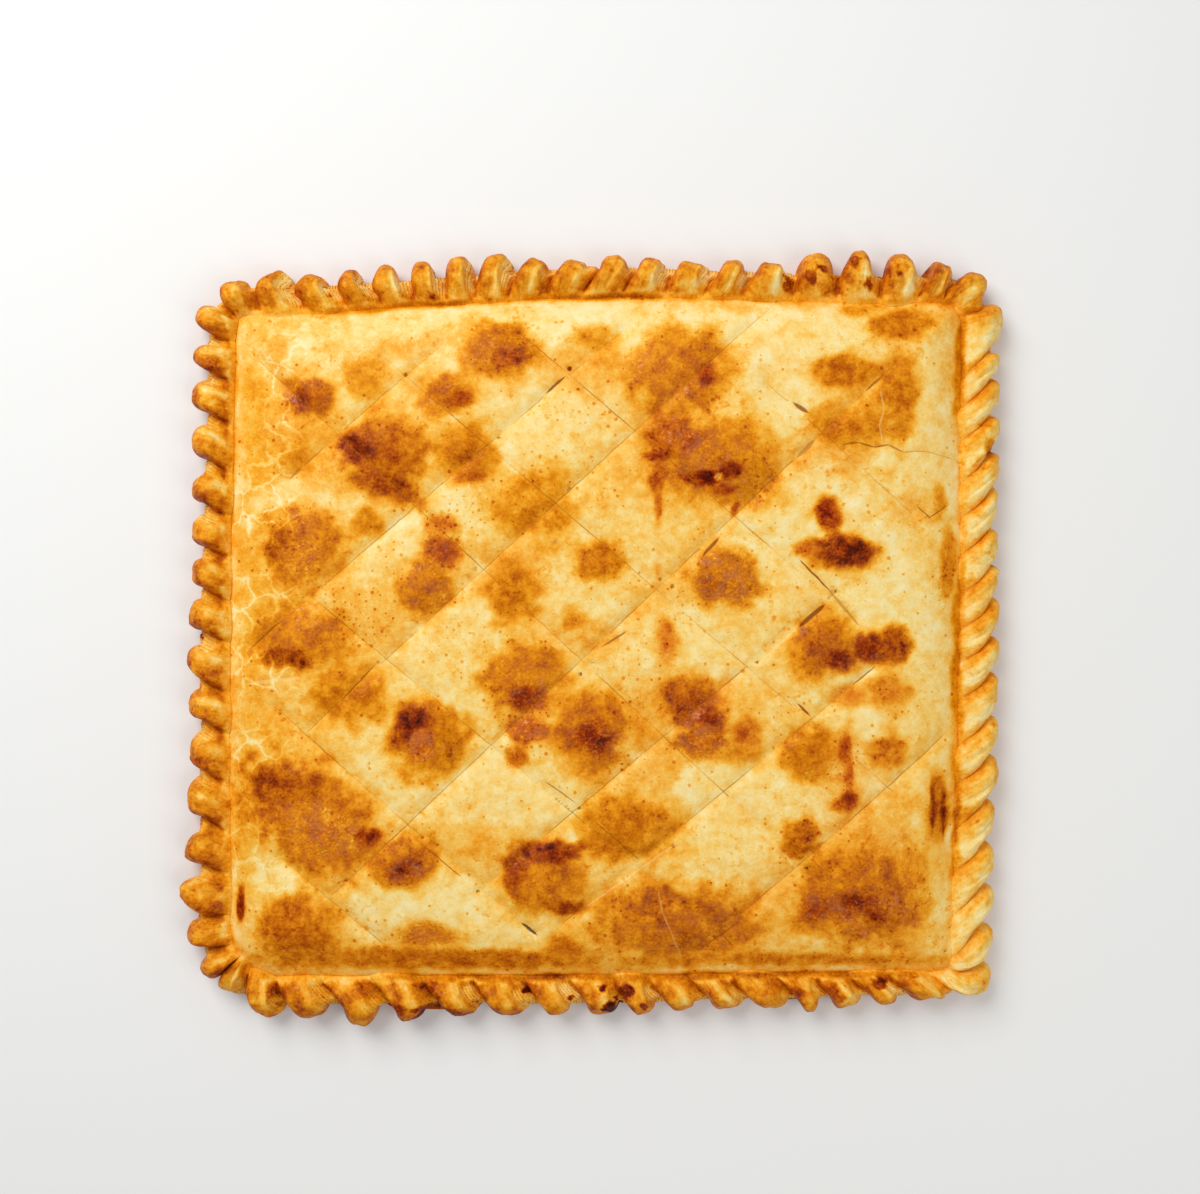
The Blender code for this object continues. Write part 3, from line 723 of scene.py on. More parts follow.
@dataclass
class Lid:
    """The domed lid, with its pillows between the cuts, its cuts, pits and blisters."""

    rope: RopeLine
    columns: int = 306
    rows: int = 282
    tuck: float = 3.0
    tuck_fall: float = 2.4
    floor_height: float = 5.0
    shoulder_height: float = 21.0
    middle_height: float = 24.6
    shoulder_run: float = 13.0
    middle_run: float = 70.0
    pillow_rise: float = 1.25
    pillow_run: float = 19.0
    cut_depth: float = 0.9
    cut_half_width: float = 3.0
    cut_look: tuple[float, float, float] = (0.28, 0.62, 0.47)
    cut_clear: Point = (1.8, 3.6)
    score_end: float = 1.5
    score_reach: Point = (5.0, 3.5)
    slit_lead: float = 2.5
    pit_reach: float = 3.0
    pit_depth: float = 1.3
    blister_sharpness: float = 1.3
    pale_heat: float = 0.10
    stain_heat: float = 0.17
    blotch_heat: float = 0.055
    pale_red: float = 0.38
    red_spread: float = 0.22
    wash_bend: float = 6.0
    wash_ragged: float = 0.12
    wash_feather: float = 0.7
    spot_bend: float = 1.3
    spot_ragged: float = 0.20
    small_spot: float = 9.0
    dapple: float = 0.06
    core_heat: float = 0.08
    halo_share: float = 0.45
    halo_heat: float = 0.34
    channel_cover: float = 0.9
    channel_red: float = 0.04
    vein_edge: Point = (-118.0, -150.0)
    lumps: float = 0.34
    ripples: float = 0.11
    top: float = 28.7
    top_softness: float = 0.45
    noise: DoughNoise = field(default_factory=lambda: DoughNoise(SEED))

    def outline(self, index: int, share: Array) -> Array:
        """Places along one side of the lid's hidden outer edge.

        Args:
            index: Which side, clockwise from the far one.
            share: Shares of the way from its corner to the next one.

        Returns:
            Rows of x and y, in millimetres.
        """
        ends = self.rope.corners[1:] + [len(self.rope.line)]
        run = np.arange(self.rope.corners[index], ends[index] + 1) % len(self.rope.line)
        edge = self.rope.line[run] + self.rope.normals[run] * self.tuck
        steps = np.linalg.norm(np.diff(edge, axis=0), axis=1)
        along = np.concatenate([[0.0], np.cumsum(steps)]) / steps.sum()
        return np.stack([np.interp(share, along, edge[:, axis]) for axis in (0, 1)], axis=1)

    def spread(self, u: Array, v: Array) -> Array:
        """Spreads a square grid over the lid so that its border follows the outline.

        Args:
            u: Shares of the way across, from left to right.
            v: Shares of the way up, from the near side to the far one.

        Returns:
            Rows of x and y, in millimetres.
        """
        far, right = self.outline(0, u), self.outline(1, 1 - v)
        near, left = self.outline(2, 1 - u), self.outline(3, v)
        ends = [self.outline(index, np.array([0.0]))[0] for index in range(4)]
        u, v = u[:, None], v[:, None]
        corners = (1 - u) * v * ends[0] + u * v * ends[1]
        corners += u * (1 - v) * ends[2] + (1 - u) * (1 - v) * ends[3]
        return (1 - v) * near + v * far + (1 - u) * left + u * right - corners

    def inward(self, places: Array) -> Array:
        """Measures each place inward from the line where the lid meets the rope.

        Args:
            places: Rows of x and y, in millimetres.

        Returns:
            The distances, in millimetres.
        """
        line = self.rope.line
        steps = np.roll(line, -1, axis=0) - line
        fine = np.concatenate([line + steps * t / 4 for t in range(4)])
        normals = np.concatenate([self.rope.normals] * 4)
        tree = KDTree(len(fine))
        for index, (x, y) in enumerate(fine.tolist()):
            tree.insert((x, y, 0.0), index)
        tree.balance()
        nearest = np.array([tree.find((x, y, 0.0))[1] for x, y in places.tolist()])
        return -((places - fine[nearest]) * normals[nearest]).sum(axis=1)

    def scores(self, places: Array, cuts: Sequence, slits: Sequence[Score]) -> tuple[Array, ...]:
        """Finds the score that each place lies nearest to.

        Args:
            places: Rows of x and y, in millimetres.
            cuts: Pairs of ends of the long cuts, in the part's millimetres.
            slits: The slits and cracks that run the same way.

        Returns:
            The signed distance from it, its half-width, how strongly it shows, its tone, and
            the distance from the nearest long cut.
        """
        lines = [Score(to_ruler(start), to_ruler(end), *self.cut_look) for start, end in cuts]
        best, cut_gap, slit_gap = (np.full(len(places), FAR_AWAY) for _ in range(3))
        signed, width, depth, tone = (np.zeros(len(places)) for _ in range(4))
        for slit in slits:
            _, across, past, _ = beside_line(places, slit)
            slit_gap = np.minimum(slit_gap, np.hypot(across, past))
        fading = 0.7 + 0.7 * self.noise.at(places, 13.0)
        fading *= smooth_step(*self.cut_clear, slit_gap)
        for number, score in enumerate((*lines, *slits)):
            along, across, past, length = beside_line(places, score)
            gap = near = np.hypot(across, past)
            shows = score.depth * smooth_step(self.score_end, 0.0, past)
            shows *= smooth_step(*self.score_reach, gap)
            if number < len(lines):
                cut_gap = np.minimum(cut_gap, gap)
                shows *= fading
                taper = smooth_step(0.0, 2.5, np.minimum(along, length - along) + 0.6)
            else:
                near = gap - self.slit_lead
                share = np.clip(along / length, 0, 1)
                taper = np.sqrt(4 * share * (1 - share))
            half_width = score.half_width * (0.35 + 0.65 * taper)
            nearer = near < best
            best = np.where(nearer, near, best)
            signed = np.where(nearer, across, signed)
            width = np.where(nearer, half_width, width)
            depth = np.where(nearer, shows, depth)
            tone = np.where(nearer, score.tone, tone)
        return signed, width, np.clip(depth, 0, 1), tone, cut_gap

    def pit_marks(self, places: Array) -> tuple[Array, Array]:
        """Finds the burst pits of the lid.

        Args:
            places: Rows of x and y, in millimetres.

        Returns:
            How far inside the nearest pit each place lies, in millimetres, and that pit's tone.
        """
        inside = np.full(len(places), -self.pit_reach)
        tone = np.zeros(len(places))
        for pit in PITS:
            gap = pit.radius - np.linalg.norm(places - on_lid(pit.x, pit.y), axis=1)
            tone = np.where(gap > inside, pit.tone, tone)
            inside = np.maximum(inside, gap)
        return inside, tone

    def away(self, toast: Toast, places: Array, bend: Array) -> Array:
        """How far places lie from the middle of a browned spot.

        Args:
            toast: The spot.
            places: Rows of x and y, in millimetres.
            bend: How far noise bends the outline of a large spot there, in millimetres.

        Returns:
            The distances, as shares of the spot's half-widths.
        """
        size = np.array([toast.half_x, toast.half_y]) * RULER_STEP
        offset = places - on_lid(toast.x, toast.y) + bend * min(1.0, size.min() / self.small_spot)
        turn = math.radians(toast.turn)
        away_x = offset[:, 0] * math.cos(turn) + offset[:, 1] * math.sin(turn)
        away_y = offset[:, 1] * math.cos(turn) - offset[:, 0] * math.sin(turn)
        return np.hypot(away_x / size[0], away_y / size[1])

    def browning(self, places: Array, inward: Array) -> tuple[Array, Array, Array]:
        """Works out how the oven browned the lid.

        Args:
            places: Rows of x and y, in millimetres.
            inward: Their distances from the rope.

        Returns:
            The heat, the redness and the crumbs of each place.
        """
        warp = np.stack([self.noise.layers(places, 11.0, 3, shift) for shift in (311.0, 733.0)],
                        axis=1)
        ragged = self.noise.layers(places, 6.0, 4, shift=91.0)
        browner_share = smooth_step(-0.35, 0.8, self.noise.layers(places + 4.0 * warp, 30.0, 5))
        heat = self.pale_heat + self.stain_heat * browner_share
        heat += self.blotch_heat * self.noise.layers(places, 8.0, 4, shift=57.0)
        red = self.pale_red + self.red_spread * self.noise.layers(places, 27.0, 2)
        crumbs = np.zeros(len(places))
        for group, bend, raggedness in ((WASHES, self.wash_bend, self.wash_ragged),
                                        (SPOTS, self.spot_bend, self.spot_ragged)):
            for toast in group:
                away = self.away(toast, places, warp * bend) + raggedness * ragged
                inner = np.clip(away, 0, 1)
                aim, feather = toast.heat, self.wash_feather
                if group is SPOTS:
                    halo = smooth_step(1.6, 0.85, away + 0.2 * warp[:, 0]) * self.halo_share
                    glow = min(toast.heat - 0.1, self.halo_heat)
                    heat = np.maximum(heat, heat + (glow - heat) * halo)
                    dapple = (self.noise.at(places, 6.5, shift=toast.x)
                              + 0.8 * self.noise.at(places, 2.6, shift=toast.y))
                    aim = aim + self.dapple * dapple - self.core_heat * inner
                    feather = toast.feather
                mask = smooth_step(1 + feather * 0.7, 1 - feather, away) * toast.cover
                heat += (aim - heat) * mask
                red += (toast.red * (1.35 - 0.5 * inner) - red) * mask
                crumbs += (toast.crumbs - crumbs) * mask
        heat, red = self.channel(places, inward, heat, red)
        return np.clip(heat, 0, 1), np.clip(red, 0, 1), np.clip(crumbs, 0, 1)

    def channel(self, places: Array, inward: Array, heat: Array,
                red: Array) -> tuple[Array, Array]:
        """Darkens the lid towards brown in a wavy band along the channel between the lid and the
        rope.

        Args:
            places: Rows of x and y, in millimetres.
            inward: Their distances from the rope.
            heat: The heat of each place so far.
            red: The redness of each place so far.

        Returns:
            The heat and the redness.
        """
        tilt = places / LID_HALF_SIZE
        upright = np.abs(tilt[:, 1]) > np.abs(tilt[:, 0])
        number = np.where(upright, np.where(tilt[:, 1] > 0, 0, 2), np.where(tilt[:, 0] > 0, 1, 3))
        reading = np.where(upright, places[:, 0] / RULER_STEP + RULER_MIDDLE[0],
                           RULER_MIDDLE[1] - places[:, 1] / RULER_STEP)
        wander = self.noise.layers(places, 10.0, 3, shift=133.0)
        corner = smooth_step(0.0, 0.06, np.abs(np.diff(np.abs(tilt)))[:, 0])
        heat, red = heat.copy(), red.copy()
        for index, side in enumerate(SIDES):
            aim = np.interp(reading, *np.array(side.channel).T)
            width = side.channel_width * (1 + 0.5 * wander)
            centre = 0.2 * width + side.sway * self.noise.layers(places, 15.0, 2, shift=57.0)
            mask = smooth_step(width + 1.6, width * 0.4, np.abs(inward + centre))
            mask *= (number == index) * corner
            heat += (aim + 0.07 * wander - heat) * mask * self.channel_cover
            red += (self.channel_red - red) * mask
        return heat, red

    def height(self, places: Array, inward: Array, marks: dict[str, Array]) -> Array:
        """The height of the lid at each place.

        Args:
            places: Rows of x and y, in millimetres.
            inward: Their distances from the rope, below 0 under it.
            marks: What the other methods found there, by name.

        Returns:
            Heights in millimetres.
        """
        run = np.maximum(inward, 0.0)
        shoulder = 1 - np.exp(-run / self.shoulder_run)
        shoulder = (self.shoulder_height - LID_EDGE_HEIGHT) * shoulder
        dome = (self.middle_height - self.shoulder_height) * ease(run / self.middle_run)
        inner = ease(run / self.pillow_run)
        gaps = marks["rising_gap"], marks["falling_gap"]
        pillow = self.pillow_rise * ease(gaps[0] / self.pillow_run)
        pillow = pillow * ease(gaps[1] / self.pillow_run) * inner
        valley = np.exp(-((np.minimum(*gaps) / self.cut_half_width) ** 2))
        height = LID_EDGE_HEIGHT + shoulder + dome + pillow - self.cut_depth * valley * inner
        for blister in BLISTERS:
            middle = on_lid(*to_ruler((blister.x, blister.y)))
            away = (places - middle) / (blister.half_x, blister.half_y)
            round_share = 1 - np.clip((away ** 2).sum(axis=1), 0.0, 1.0)
            height += blister.rise * round_share ** self.blister_sharpness * inner
        height += (self.lumps * self.noise.layers(places, 14.0, 3)
                   + self.ripples * self.noise.layers(places, 4.0, 2)) * inner
        grains = 0.24 * self.noise.at(places, 2.6) + 0.15 * self.noise.at(places, 1.5)
        height += marks["crumbs"] * grains
        for name in ("rising", "falling"):
            groove = np.exp(-((marks[name] / (0.5 + marks[name + "_width"])) ** 2))
            height -= (0.35 + 0.5 * marks[name + "_width"]) * groove * marks[name + "_depth"]
        height -= self.pit_depth * smooth_step(-0.6, 0.9, marks["pit"])
        over = np.logaddexp(0, (height - self.top) / self.top_softness)
        height = height - self.top_softness * over
        return height - self.tuck_fall * np.maximum(-inward, 0.0)

    def build(self, finish: bpy.types.Material) -> bpy.types.Object:
        """Builds the lid as one closed piece.

        Args:
            finish: The material of the lid.

        Returns:
            The finished piece.
        """
        body = bmesh.new()
        bmesh.ops.create_grid(body, x_segments=self.columns, y_segments=self.rows, size=1.0)
        shares = (np.array([vert.co[:2] for vert in body.verts]) + 1) / 2
        places = self.spread(shares[:, 0], shares[:, 1])
        inward = self.inward(places)
        marks = self.marks(places, inward)
        height = self.height(places, inward, marks)
        move_verts(body, np.column_stack([places, height]))
        rim = [edge for edge in body.edges if edge.is_boundary]
        skirt = bmesh.ops.extrude_edge_only(body, edges=rim)["geom"]
        lowered = [item for item in skirt if isinstance(item, bmesh.types.BMVert)]
        for vert in lowered:
            vert.co.z = self.floor_height * MM
        rim = [edge for edge in body.edges if edge.is_boundary]
        bmesh.ops.contextual_create(body, geom=rim)
        bmesh.ops.recalc_face_normals(body, faces=body.faces)
        body.verts.index_update()
        places = np.array([vert.co[:2] for vert in body.verts]) / MM
        extra = len(places) - len(inward)
        inward = np.concatenate([inward, np.full(extra, -self.tuck)])
        marks = self.marks(places, inward)
        piece = finish_piece(body, "lid", finish)
        mesh = piece.data
        write_values(mesh, "browning", (marks["heat"], marks["red"], marks["crumbs"]))
        for name in ("rising", "falling"):
            columns = (marks[name], marks[name + "_width"], marks[name + "_depth"])
            write_values(mesh, name + "_score", columns)
        tones = (marks["rising_tone"], marks["falling_tone"], marks["specks"])
        write_values(mesh, "score_tone", tones)
        write_values(mesh, "pit", (marks["pit"], marks["pit_tone"], marks["veins"]))
        return piece

    def marks(self, places: Array, inward: Array) -> dict[str, Array]:
        """Everything that the oven and the knife left on the lid, at each place.

        Args:
            places: Rows of x and y, in millimetres.
            inward: Their distances from the rope.

        Returns:
            One array for each kind of mark, by name.
        """
        found: dict[str, Array] = {}
        for name, cuts, slits in (("rising", RISING_CUTS, RISING_SLITS),
                                  ("falling", FALLING_CUTS, FALLING_SLITS)):
            keys = (name, name + "_width", name + "_depth", name + "_tone", name + "_gap")
            found.update(zip(keys, self.scores(places, cuts, slits)))
        found["pit"], found["pit_tone"] = self.pit_marks(places)
        found["heat"], found["red"], found["crumbs"] = self.browning(places, inward)
        patches = self.noise.layers(places, 24.0, 2, shift=517.0)
        found["specks"] = 0.05 + 0.2 * smooth_step(0.2, 1.0, patches)
        for x, y, half_x, half_y, share in SPECK_FIELDS:
            away = (places - on_lid(x, y)) / (half_x * RULER_STEP, half_y * RULER_STEP)
            near = smooth_step(1.3, 0.3, np.hypot(*away.T) + 0.3 * self.noise.at(places, 6.0))
            found["specks"] = np.maximum(found["specks"], share * near)
        edge = smooth_step(*self.vein_edge, places[:, 0] + 8.0 * self.noise.at(places, 25.0))
        patches = 0.5 + 0.9 * self.noise.at(places, 18.0, shift=71.0)
        found["veins"] = np.clip(edge * patches, 0, 1)
        return found


@dataclass
class RopeSide:
    """The folded dough along one side of the pastry, as a closed tube of lobes."""

    rope: RopeLine
    index: int
    columns: int = 42
    shown_rows: int = 9
    hidden_rows: int = 2
    overlap: int = 5
    overlap_step: float = 0.025
    sink: float = 2.6
    core: Point = (9.5, 8.0)
    lean: float = 1.35
    head_roundness: float = 2.0
    gap_width: float = 0.36
    gap_depth: float = 2.9
    lap: float = 1.7
    crease_sway: float = 1.9
    edge_wave: float = 1.1
    inset: float = 0.9
    lump_rise: float = 0.36
    streak_rise: float = 0.22
    flake_rise: float = 0.16
    ridge_rise: float = 0.7
    dent_depth: float = 0.6
    crease_depth: float = 0.8
    crease_width: float = 0.045
    layer_width: float = 1.5
    # How much paler the painted highlight makes the ridge of each lobe.
    ridge_painted_highlight: float = 0.31
    gap_heat: float = 0.14
    lowest_heat: float = 0.1
    burnt_red: float = 0.6
    burnt: tuple[tuple[float, float, float, float], ...] = ()
    toasted: tuple[tuple[float, float, float, float], ...] = (
        (400, 1000, 150, 0.11), (770, 275, 150, -0.04), (985, 930, 60, -0.08), (985, 445, 8, 0.35),
    )
    noise: DoughNoise = field(default_factory=lambda: DoughNoise(SEED + 5))

    def turns(self) -> tuple[Array, Array]:
        """Where the columns of the piece stand, counted in lobes.

        Returns:
            The places, and how deep each is sunk into the neighbouring side, in millimetres.
        """
        side = SIDES[self.index]
        first = self.rope.first_lobe[self.index]
        last = first + len(side.tips)
        own = np.linspace(first, last, len(side.tips) * self.columns + 1)
        extra = np.arange(1, self.overlap + 1)
        turns = [first - extra[::-1] * self.overlap_step, own, last + extra * self.overlap_step]
        sunk = 0.06 + self.sink * (extra / self.overlap) ** 2
        return np.concatenate(turns), np.concatenate([sunk[::-1], np.zeros(len(own)), sunk])

    def section(self) -> Array:
        """The rings of the piece, from the underside over the rope and back below the lid.

        Returns:
            Rows of a lobe's reach and height, then a crease's, in millimetres, and how many
            steps of RINGS the row lies from the lid.
        """
        rings = len(RINGS) - 1
        steps = np.linspace(0, rings, rings * self.shown_rows + 1)
        slopes = np.gradient(RINGS, axis=0)
        low = np.minimum(steps.astype(int), rings - 1)
        t = (steps - low)[:, None]
        start, end = 2 * t ** 3 - 3 * t ** 2 + 1, 3 * t ** 2 - 2 * t ** 3
        leave, arrive = t ** 3 - 2 * t ** 2 + t, t ** 3 - t ** 2
        shown = (start * RINGS[low] + leave * slopes[low]
                 + end * RINGS[low + 1] + arrive * slopes[low + 1])
        back = np.array([RINGS[-1], (-2.2, 9.5, -2.2, 9.5), (-2.2, 1.2, -2.2, 1.2),
                         (11.0, 0.6, 10.0, 0.6), RINGS[0]])
        share = np.linspace(0, len(back) - 1, (len(back) - 1) * self.hidden_rows + 1)[1:]
        hidden = [np.interp(share, np.arange(len(back)), back[:, column]) for column in range(4)]
        shown = np.column_stack([shown, rings - steps])
        return np.concatenate([shown, np.column_stack([*hidden, np.full(len(share), rings)])])

    def shape(self, turn: Array, ring: Array, hidden: Array) -> dict[str, Array]:
        """Works out where the surface lies.

        Args:
            turn: Places along the rope, counted in lobes.
            ring: For each place, a row of the section.
            hidden: Whether the place is under the lid or the rope.

        Returns:
            The station, reach and height in millimetres, and what the browning needs.
        """
        rope = self.rope
        lobe = np.floor(turn).astype(int) % rope.count
        across = turn - np.floor(turn)
        lead = rope.lead[lobe].astype(int)
        laid = np.where(lead > 0, across, 1 - across)
        travel = ring[:, 4]
        skew = np.abs(2 * laid ** self.lean - 1)
        broad = (1 - skew ** LOBE_FULLNESS) ** LOBE_ROUNDNESS
        half = 0.5 * rope.head[lobe] * (1 + 0.12 * self.dice(lobe, Draw.HEAD))
        peak = np.minimum(1 - half - 0.04, 0.5 + 0.45 * (1 - rope.head[lobe]))
        narrow = np.maximum(0, 1 - np.abs((laid - peak) / half) ** self.head_roundness) ** 0.5
        plump = broad + (narrow - broad) * smooth_step(2.3, 4.2, travel)
        notch = 1 - (1 - plump) * rope.blend(rope.notch, turn)
        out = ring[:, 2] + (ring[:, 0] - ring[:, 2]) * notch
        height = ring[:, 3] + (ring[:, 1] - ring[:, 3]) * notch
        shown = ~hidden
        taller = 1 + (rope.blend(rope.rise, turn) - 1) * RISE_SHARE
        height = np.where(shown, height * taller, height)
        share = ring[:, 0] / ROPE_WIDTH
        out = out + rope.blend(rope.reach, turn) * plump * share * shown
        rise = rope.blend(rope.lift, turn) * plump * np.minimum(1, height / ROPE_WIDTH)
        height = height + rise * shown
        width = rope.creases[lobe + 1] - rope.creases[lobe]
        station = rope.creases[lobe] + across * width + rope.blend(rope.slant, turn) * (share - 1)
        station = station + rope.blend(rope.hook, turn) * smooth_step(3.2, 0.0, travel) * shown
        first, last = (np.column_stack([(lobe + step) % rope.count * 7.3 + 0.5, travel * 0.4])
                       for step in (0, 1))
        sway = (1 - across) * self.noise.at(first, 1.0) + across * self.noise.at(last, 1.0)
        station = station + self.crease_sway * sway * shown
        wave = self.noise.at(np.column_stack([station, station]), 19.0)
        lap = self.lap * broad * (0.6 + 0.55 * self.dice(lobe, Draw.LAP)) + self.edge_wave * wave
        lap = lap * smooth_step(1.4, 0.0, travel) * shown
        out, height = out - lap, height + 0.62 * lap
        behind = laid > 0.6
        owner = np.where(behind, (lobe + lead) % rope.count, lobe)
        return {"station": station, "out": out, "height": height, "laid": laid, "plump": plump,
                "width": width, "travel": travel, "shown": shown.astype(float), "lobe": lobe,
                "beside": np.where(behind, laid - 1, laid), "open": rope.gap[owner],
                "owner": owner,
                "turn": lobe + np.where(lead > 0, laid, 1 - laid)}

    def dice(self, lobe: Array, draw: Draw) -> Array:
        """A number from -1 to 1 for each lobe."""
        return self.noise.values[(lobe * 131 + draw.value * 1009) % NOISE_CELLS]

    def gap_mask(self, form: dict[str, Array]) -> Array:
        """Finds where the dough lies low and its layers show, behind the neighbour's clean edge.

        Args:
            form: What shape found.

        Returns:
            The share of the gap at each place, from 0 to 1.
        """
        beside, travel, owner = form["beside"], form["travel"], form["owner"]
        reach = self.gap_width * (0.55 + 0.45 * form["open"])
        reach = reach * (1 + 0.2 * self.dice(owner, Draw.GAP_WIDTH))
        band = smooth_step(-0.05, 0.0, beside) * smooth_step(reach + 0.08, reach - 0.06, beside)
        bowl = 2.2 - 1.7 * form["open"] + 0.3 * self.dice(owner, Draw.GAP_START)
        bowl = bowl + 1.6 * (beside / self.gap_width - 0.35) ** 2
        outward = smooth_step(bowl, bowl + 0.7, travel) * smooth_step(7.2, 5.6, travel)
        return band * outward * form["open"] * form["shown"]

    def crease_mask(self, form: dict[str, Array]) -> Array:
        """The line where one lobe passes under the next one."""
        line = np.exp(-((form["beside"] / self.crease_width) ** 2))
        return line * smooth_step(0.15, 1.0, form["travel"]) * form["shown"]

    def relief(self, form: dict[str, Array]) -> Array:
        """Works out how far the folds and layers stand out from the smooth lobes.

        Args:
            form: What shape found.

        Returns:
            The height at each place, in millimetres.
        """
        laid, travel, lobe = form["laid"], form["travel"], form["lobe"]
        rolled = np.column_stack([form["station"], form["out"], form["height"]])
        across = laid * form["width"]
        strand = np.column_stack([across, travel * 0.9 + lobe * 9])
        gap = self.gap_mask(form)
        lumps = self.lump_rise * self.noise.layers(rolled, 7.5, 3)
        streaks = self.streak_rise * self.noise.layers(strand, 2.6, 3)
        flakes = self.flake_rise * self.noise.layers(rolled, 2.6, 2, shift=19.0) * (1 - gap)
        top = smooth_step(0.3, 1.6, travel) * smooth_step(7.5, 5.5, travel)
        ridge = self.ridge_rise * np.exp(-((laid - 0.82) / 0.12) ** 2) * top
        dent = self.dent_depth * np.exp(-((laid - 0.50) / 0.07) ** 2) * top
        dent = dent * (self.dice(lobe, Draw.DENT) > 0.1) * smooth_step(4.5, 2.0, travel)
        wave = np.sin(across * 2 * math.pi / self.layer_width + 2 * self.noise.at(strand, 3.0))
        depth = self.gap_depth * (1 + 0.25 * self.dice(form["owner"], Draw.GAP_DEPTH))
        depth = depth * smooth_step(6.0, 3.6, travel)
        return ((lumps + streaks + flakes + 0.3 + ridge - dent) * top + 0.25 * lumps
                - gap * (depth - 0.25 * wave) - self.crease_depth * self.crease_mask(form) * top)

    def browning(self, form: dict[str, Array], places: Array,
                 lid: Lid) -> tuple[Array, Array, Array]:
        """Works out how the oven browned the rope.

        Args:
            form: What shape found.
            places: Rows of x and y, in millimetres.
            lid: The lid, whose browning the rope takes over at their joint.

        Returns:
            The heat, the redness and the crumbs of each place.
        """
        laid, travel, beside = form["laid"], form["travel"], form["beside"]
        rolled = np.column_stack([form["station"], form["out"], form["height"]])
        patches = self.noise.layers(rolled, 9.0, 3, shift=41.0)
        fine = self.noise.layers(rolled, 3.0, 3, shift=87.0)
        blots = smooth_step(0.15, 0.75, self.noise.layers(rolled, 5.0, 3, shift=11.0))
        own = self.dice(form["lobe"], Draw.TONE)
        base = self.rope.blend(self.rope.toast, form["turn"])
        rim = self.rope.blend(self.rope.rim, form["turn"])
        lively = 0.45 + 1.1 * base
        heat = base + 0.05 * own + lively * (0.12 * patches + 0.08 * fine + 0.08 * blots - 0.03)
        # The ridge of a lobe gets a painted highlight, paler along its crest, and its edges, its
        # tip and its foot brown most.
        ridge = np.exp(-((laid - 0.42 - 0.06 * own - 0.06 * patches) / 0.13) ** 2)
        ridge *= smooth_step(0.2, 1.0, travel) * smooth_step(4.2, 2.2, travel)
        ridge *= (0.75 + 0.4 * self.dice(form["lobe"], Draw.RIDGE_HIGHLIGHT)) * (0.6 + 0.8 * base)
        heat -= self.ridge_painted_highlight * ridge
        edge = smooth_step(0.66, 0.93, laid + 0.06 * fine) * smooth_step(0.6, 1.8, travel)
        heat += (rim + 0.08 * fine - heat) * edge * (0.8 + 0.2 * patches)
        tip = smooth_step(3.4, 4.6, travel) * smooth_step(0.3, 0.5, laid)
        heat += (rim - 0.05 - heat) * tip * 0.55
        pale = self.gap_mask(form) * smooth_step(6.0, 4.6, travel)
        heat += (self.gap_heat + 0.12 * np.abs(fine) - heat) * np.clip(1.3 * pale, 0, 1)
        under = smooth_step(5.2, 6.4, travel)
        heat += (0.45 + 0.35 * base - heat) * under * 0.75
        # Painted shade together with real browning: the line where one lobe passes under the next
        # is darkened.
        crease_brown_and_shade = self.crease_mask(form) * (1 - 0.7 * np.clip(1.25 * pale, 0, 1))
        heat += (rim + 0.06 - heat) * crease_brown_and_shade * 0.8
        # Darker, towards the rim's heat, just behind the crease on the inner part of each lobe.
        browner_share = smooth_step(0.34, 0.05, beside) * smooth_step(-0.08, 0.0, beside)
        browner_share *= smooth_step(3.4, 1.6, travel)
        browner_share *= 0.35 + 0.5 * smooth_step(-0.3, 0.6, self.dice(form["owner"], Draw.BESIDE_CREASE))
        heat += (rim - heat) * np.clip(browner_share, 0, 1) * (1 - pale)
        red = 0.04 + 0.45 * base * (1 + 0.8 * edge + 0.7 * blots) + 0.12 * patches
        for x, y, size, more in self.toasted:
            heat += more * smooth_step(1.2, 0.6, self.away(places, x, y, size))
        for x, y, size, burnt in self.burnt:
            away = self.away(places, x, y, size)
            mask = smooth_step(1.3, 0.6, away + 0.7 * fine + 0.5 * patches)
            heat += (burnt + 0.12 * fine - heat) * mask
            red += (self.burnt_red - red) * mask
        crumbs = 0.1 + 0.2 * smooth_step(0.1, 0.8, patches)
        join = smooth_step(1.1, 0.2, travel + 0.3 * fine) * form["shown"]
        lid_heat, lid_red, _ = lid.browning(places, -form["out"])
        heat += (lid_heat - heat) * join
        red += (lid_red - red) * join
        return np.clip(heat, self.lowest_heat, 1), np.clip(red, 0, 1), crumbs

    def away(self, places: Array, x: float, y: float, size: float) -> Array:
        """How far places lie from one on the ruler, as a share of a size on the ruler."""
        return np.linalg.norm(places - on_ruler(x, y), axis=1) / (size * RULER_STEP)

